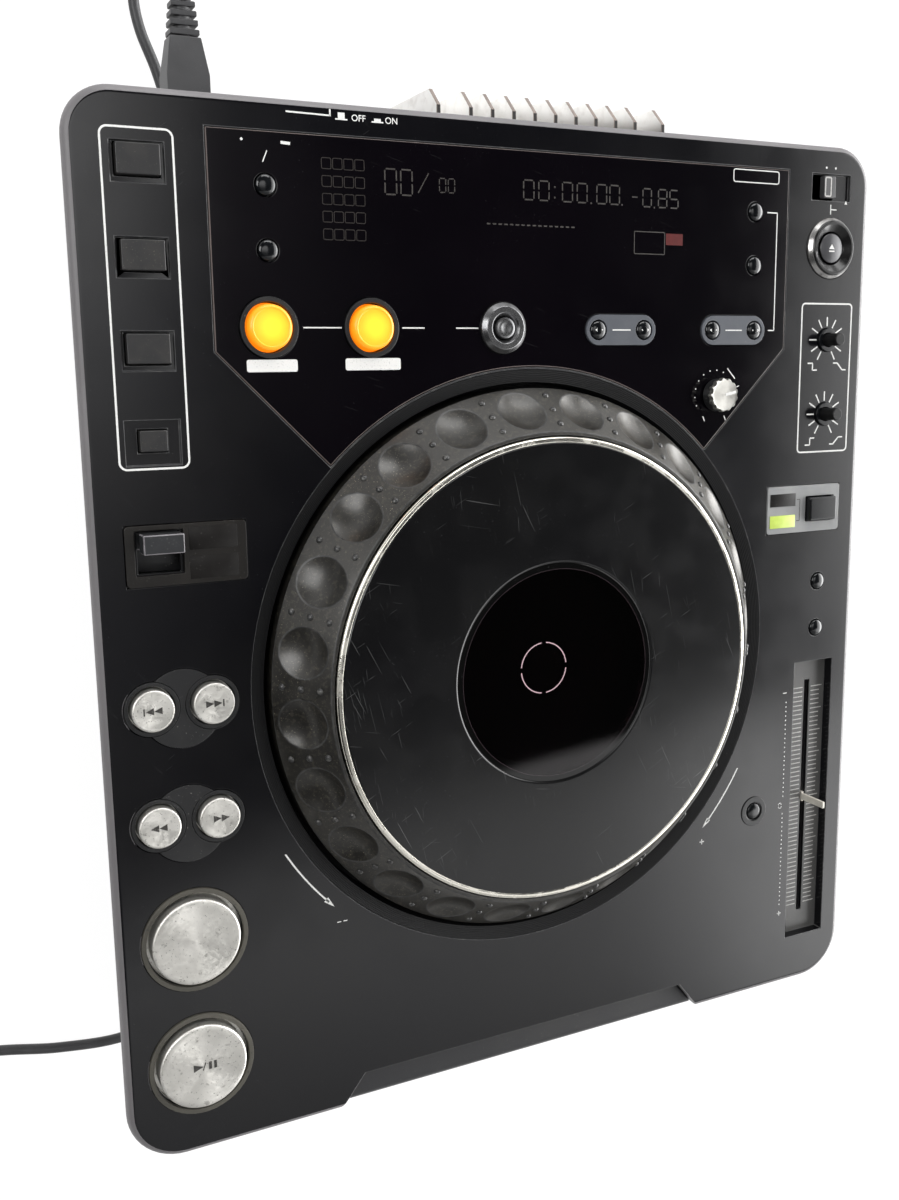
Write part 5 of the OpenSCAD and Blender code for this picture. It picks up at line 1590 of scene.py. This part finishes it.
def turn_marks(white):
    """Arrows along the jog wheel's front, with a plus at one and two dashes at the other."""
    m = Marks("turn_marks", DECK)
    x, y = middle("jog_wheel")[:2]
    arrow_r, sign_y = 115.3, -109.1
    for start, end in ((-29.9, -43.0), (-150.1, -137.0)):
        m.arc((x, y), arrow_r, start, end, 0.6)
        tip = math.radians(end)
        heading = end - 90 if end > -90 else end + 90
        m.triangle((x + arrow_r * math.cos(tip), y + arrow_r * math.sin(tip)), 4.6, 2.1, heading)
    m.plus((82.1, sign_y), 2.2)
    for dash in (-81.4, -79.0):
        m.bar((dash, sign_y - 0.1), (dash + 1.5, sign_y - 0.1), 0.4)
    m.done("player", white)


def word_mark(name, text, corner, size, finish):
    """A short word of plain letters, lying on the deck."""
    deselect()
    bpy.ops.object.text_add(location=(corner[0] * MM, corner[1] * MM, (DECK - 0.02) * MM))
    word = bpy.context.object
    word.data.body = text
    word.data.size = size * MM
    word.data.extrude = 0.03 * MM
    word.data.offset = 0.02 * MM
    bpy.ops.object.convert(target="MESH")
    settle(bpy.context.object, name)
    place(bpy.context.object, "player", finish)


def fader_marks():
    """Scale on the fader's floor, with a longer line at every fifth."""
    m = Marks("fader_scale", DECK - 4.4)
    x, zero_y = middle("tempo_lever")[:2]
    gap, left, right, long_line = 2.3, 8.4, 7.0, (9.4, 8.4)
    for k in range(-25, 26):
        y = zero_y + TEMPO_STEP * k
        to_left, to_right = (left, right) if k % 5 else long_line
        m.bar((x - to_left, y), (x - gap, y), 0.42)
        m.bar((x + gap, y), (x + to_right, y), 0.42)
    m.done("player", print_grey())


def panel_marks():
    m = Marks("panel_marks", DECK)
    loop_marks(m)
    time_marks(m)
    memory_marks(m)
    knob_marks(m)
    m.done("player", print_white())
    display_marks()


def loop_marks(m):
    """Lines between the loop buttons, with two bare tags."""
    in_x, y = middle("loop_in_button")[:2]
    out_x, exit_x = middle("loop_out_button")[0], middle("loop_exit_button")[0]
    for x0, x1 in (
        (in_x + 11.8, out_x - 10.8), (out_x + 11.4, out_x + 19.8), (exit_x - 18.8, exit_x - 10.0),
    ):
        m.bar((x0, y), (x1, y), 0.45)
    m.tag((-106.2, y - 14.3), (-88.8, y - 10.3), 0.7)
    m.tag((-71.8, y - 14.1), (-51.5, y - 10.1), 0.7)


def time_marks(m):
    """Small signs above the time button."""
    x, y = middle("time_button")[:2]
    m.disc((x - 7.3, y + 13.5), 0.45)
    m.bar((x + 5.6, y + 13.3), (x + 8.8, y + 13.1), 0.9)
    m.bar((x - 0.6, y + 7.0), (x + 0.9, y + 10.5), 0.35)


def memory_marks(m):
    """Line that joins the memory button to the call plate, and a bare frame behind the button."""
    x, y = middle("memory_button")[:2]
    call_x, call_y = middle("call_next_button")[:2]
    side = x + 10.9
    m.path([(x + 5.9, y), (side, y), (side, call_y), (call_x + 7.4, call_y)], 0.45)
    m.frame((x - 11, y + 10.9), (x + 11.2, y + 15.5), 0.9, 0.4)


def knob_marks(m):
    """Dots behind the jog adjust knob and lines round it."""
    x, y = middle("adjust_knob")[:2]
    dots_r = 9.6
    for k in range(8):
        a = math.radians(205 - 20 * k)
        m.disc((x + dots_r * math.cos(a), y + dots_r * math.sin(a)), 0.3, 10)
    m.bar((x - 5.6, y - 8.2), (x - 4.6, y - 10.2), 0.42)
    m.bar((x + 4.8, y - 8.2), (x + 5.6, y - 10.0), 0.42)
    m.bar((x + 6.0, y + 10.2), (x + 9.8, y + 6.2), 0.42)
    m.bar((x + 9.8, y + 2.6), (x + 12.0, y + 3.4), 0.35)


def display_marks():
    """Dim segments of the display tube. They show numbers and plain blocks only."""
    display_cells()
    display_digits()
    box = Marks("display_box", DECK)
    box.frame((44.6, 129.2), (58.3, 137.2), 0.4, 0.35)
    box.done("player", tube_segment(), TUBE_MARK)
    bar = Marks("display_bar", DECK)
    bar.bar((58.9, 134.8), (66.6, 134.8), 4.2)
    bar.done("player", tube_red(), TUBE_MARK)


def display_cells():
    """Block of empty cells, five rows of four."""
    cells = Marks("display_cells", DECK)
    first_x, first_y, pitch_x, pitch_y = -78.2, 152.6, 3.9, 5.6
    width, height = 3.3, 3.4
    for row in range(5):
        for column in range(4):
            x, y = first_x + pitch_x * column, first_y - pitch_y * row
            cells.frame((x, y), (x + width, y + height), 0.5, 0.28)
    cells.done("player", tube_faint(), TUBE_MARK)


def display_digits():
    """Track numbers, time and tempo in digits of seven bars, and a row of dashes below them."""
    m = Marks("display_digits", DECK)
    for x in (-55.8, -50.0):
        m.digit(0, (x, 145.6), 4.2, 8.2, 0.5)
    m.bar((-43.6, 146.6), (-39.6, 153.2), 0.35)
    for x in (-35.6, -32.2):
        m.digit(0, (x, 147.2), 2.4, 4.6, 0.35)
    for x in (-2.6, 3.6, 13.4, 19.6, 28.0, 33.6):
        m.digit(0, (x, 146.4), 4.2, 6.6, 0.5)
    for spot in ((10.2, 147.6), (10.2, 151.2), (25.6, 146.4), (39.0, 146.4)):
        m.disc(spot, 0.35, 8)
    m.bar((43.4, 149.4), (45.8, 149.4), 0.45)
    for number, x in ((0, 48.2), (8, 55.2), (5, 60.4)):
        m.digit(number, (x, 146.2), 3.8, 6.4, 0.5)
    m.disc((53.4, 146.0), 0.35, 8)
    dash_y, dash_l = 137.6, 1.4
    for k in range(16):
        x = -17.4 + 2.3 * k
        m.bar((x, dash_y), (x + dash_l, dash_y), 0.5)
    m.done("player", tube_segment(), TUBE_MARK)


# --- Signs on buttons and plates ---


def button_signs():
    dark, white = print_dark(), print_white()
    search_signs(dark)
    step_signs(white)
    play_sign(dark)
    eject_sign(white)


def search_signs(finish):
    """Two arrowheads on each search button, with a bar before them on the track buttons."""
    for node, way, has_bar in (
        ("track_back_button", -1, True), ("track_next_button", 1, True),
        ("search_back_button", -1, False), ("search_forward_button", 1, False),
    ):
        x, y, top = middle(node)
        m = Marks(node + "_sign", top - 0.22)
        for k in (-1, 1):
            m.triangle((x + k * 1.4 - way * (0.6 if has_bar else 0), y), 2.7, 2.4, 90 - 90 * way)
        if has_bar:
            m.bar((x + way * 3.1, y - 1.2), (x + way * 3.1, y + 1.2), 0.5)
        m.done(BODY_OF[node], finish, 0.05)


def step_signs(finish):
    """An arrow on each folder and call button."""
    for node, way in (
        ("folder_back_button", -1), ("folder_next_button", 1),
        ("call_back_button", -1), ("call_next_button", 1),
    ):
        x, y, top = middle(node)
        m = Marks(node + "_sign", top - 0.14)
        m.triangle((x + way * 0.75, y), 1.7, 2.2, 90 - 90 * way)
        m.bar((x - way * 1.5, y), (x + way * 0.3, y), 0.5)
        m.done(BODY_OF[node], finish, 0.1)


def play_sign(finish):
    x, y, top = middle("play_button")
    m = Marks("play_button_sign", top - 0.24)
    m.triangle((x - 2.6, y), 3.4, 2.8, 0)
    m.bar((x - 0.4, y - 1.4), (x + 0.6, y + 1.4), 0.35)
    for dx in (2.2, 4.0):
        m.bar((x + dx, y - 1.4), (x + dx, y + 1.4), 1.0)
    m.done("play_button", finish, 0.05)


def eject_sign(finish):
    x, y, top = middle("eject_button")
    m = Marks("eject_button_sign", top)
    m.triangle((x, y + 0.3), 1.9, 2.8, 90)
    m.bar((x - 1.4, y - 1.2), (x + 1.4, y - 1.2), 0.5)
    m.done("eject_button", finish, 0.05)


def plate_signs():
    plate_lines()
    mode_lamps()
    direction_lamps()


def plate_lines():
    """Lines between the two buttons of each pill plate."""
    white = print_white()
    for kind in ("folder", "call"):
        x0, y, _ = middle(kind + "_back_button")
        x1 = middle(kind + "_next_button")[0]
        m = Marks(kind + "_plate_marks", DECK + 0.6)
        m.bar((x0 + 6.2, y), (x1 - 6.2, y), 0.45)
        m.done("player", white)


def lamp_window(name, finish, corner, size, rise, round_r, edge):
    """A lamp's window, let into its plate and standing a little above the deck."""
    (x, y), (width, depth) = corner, size
    block = rounded_block(name, (x, y, DECK - 0.4), (x + width, y + depth, DECK + rise), round_r, edge)
    place(block, "player", finish)


def mode_lamps():
    """The jog mode plate's two lamps, of which the lower one is lit, and the line that joins them."""
    x, y, _ = middle("mode_button")
    for name, finish, low_y in (
        ("mode_lamp_upper", lamp_off(), y + 1.7), ("mode_lamp_lower", lamp_green(), y - 7.2),
    ):
        lamp_window(name, finish, (x - 26.4, low_y), (13.2, 5.2), 0.75, 0.5, 0.15)
    m = Marks("mode_plate_line", DECK + 0.5)
    m.path([(x - 12.4, y + 4.2), (x - 10.8, y + 4.2), (x - 10.8, y - 4.6), (x - 12.4, y - 4.6)], 0.3)
    m.done("player", print_dark())


def direction_lamps():
    """Two dark lamps beside the direction lever."""
    x, y = low("direction_lever").x + 18.2, middle("direction_lever")[1]
    for name, low_y in (("direction_lamp_upper", y - 3.4), ("direction_lamp_lower", y - 13.0)):
        lamp_window(name, lamp_off(), (x, low_y), (16.2, 7.6), 0.62, 0.6, 0.12)


make_camera()
make_cord()
make_stage()
make_case()
make_inside()
make_jog()
make_trims()
make_round_buttons()
make_square_buttons()
make_switches()
make_back()
deck_marks()
fader_marks()
panel_marks()
button_signs()
plate_signs()

bpy.context.scene.view_settings.view_transform = "Standard"
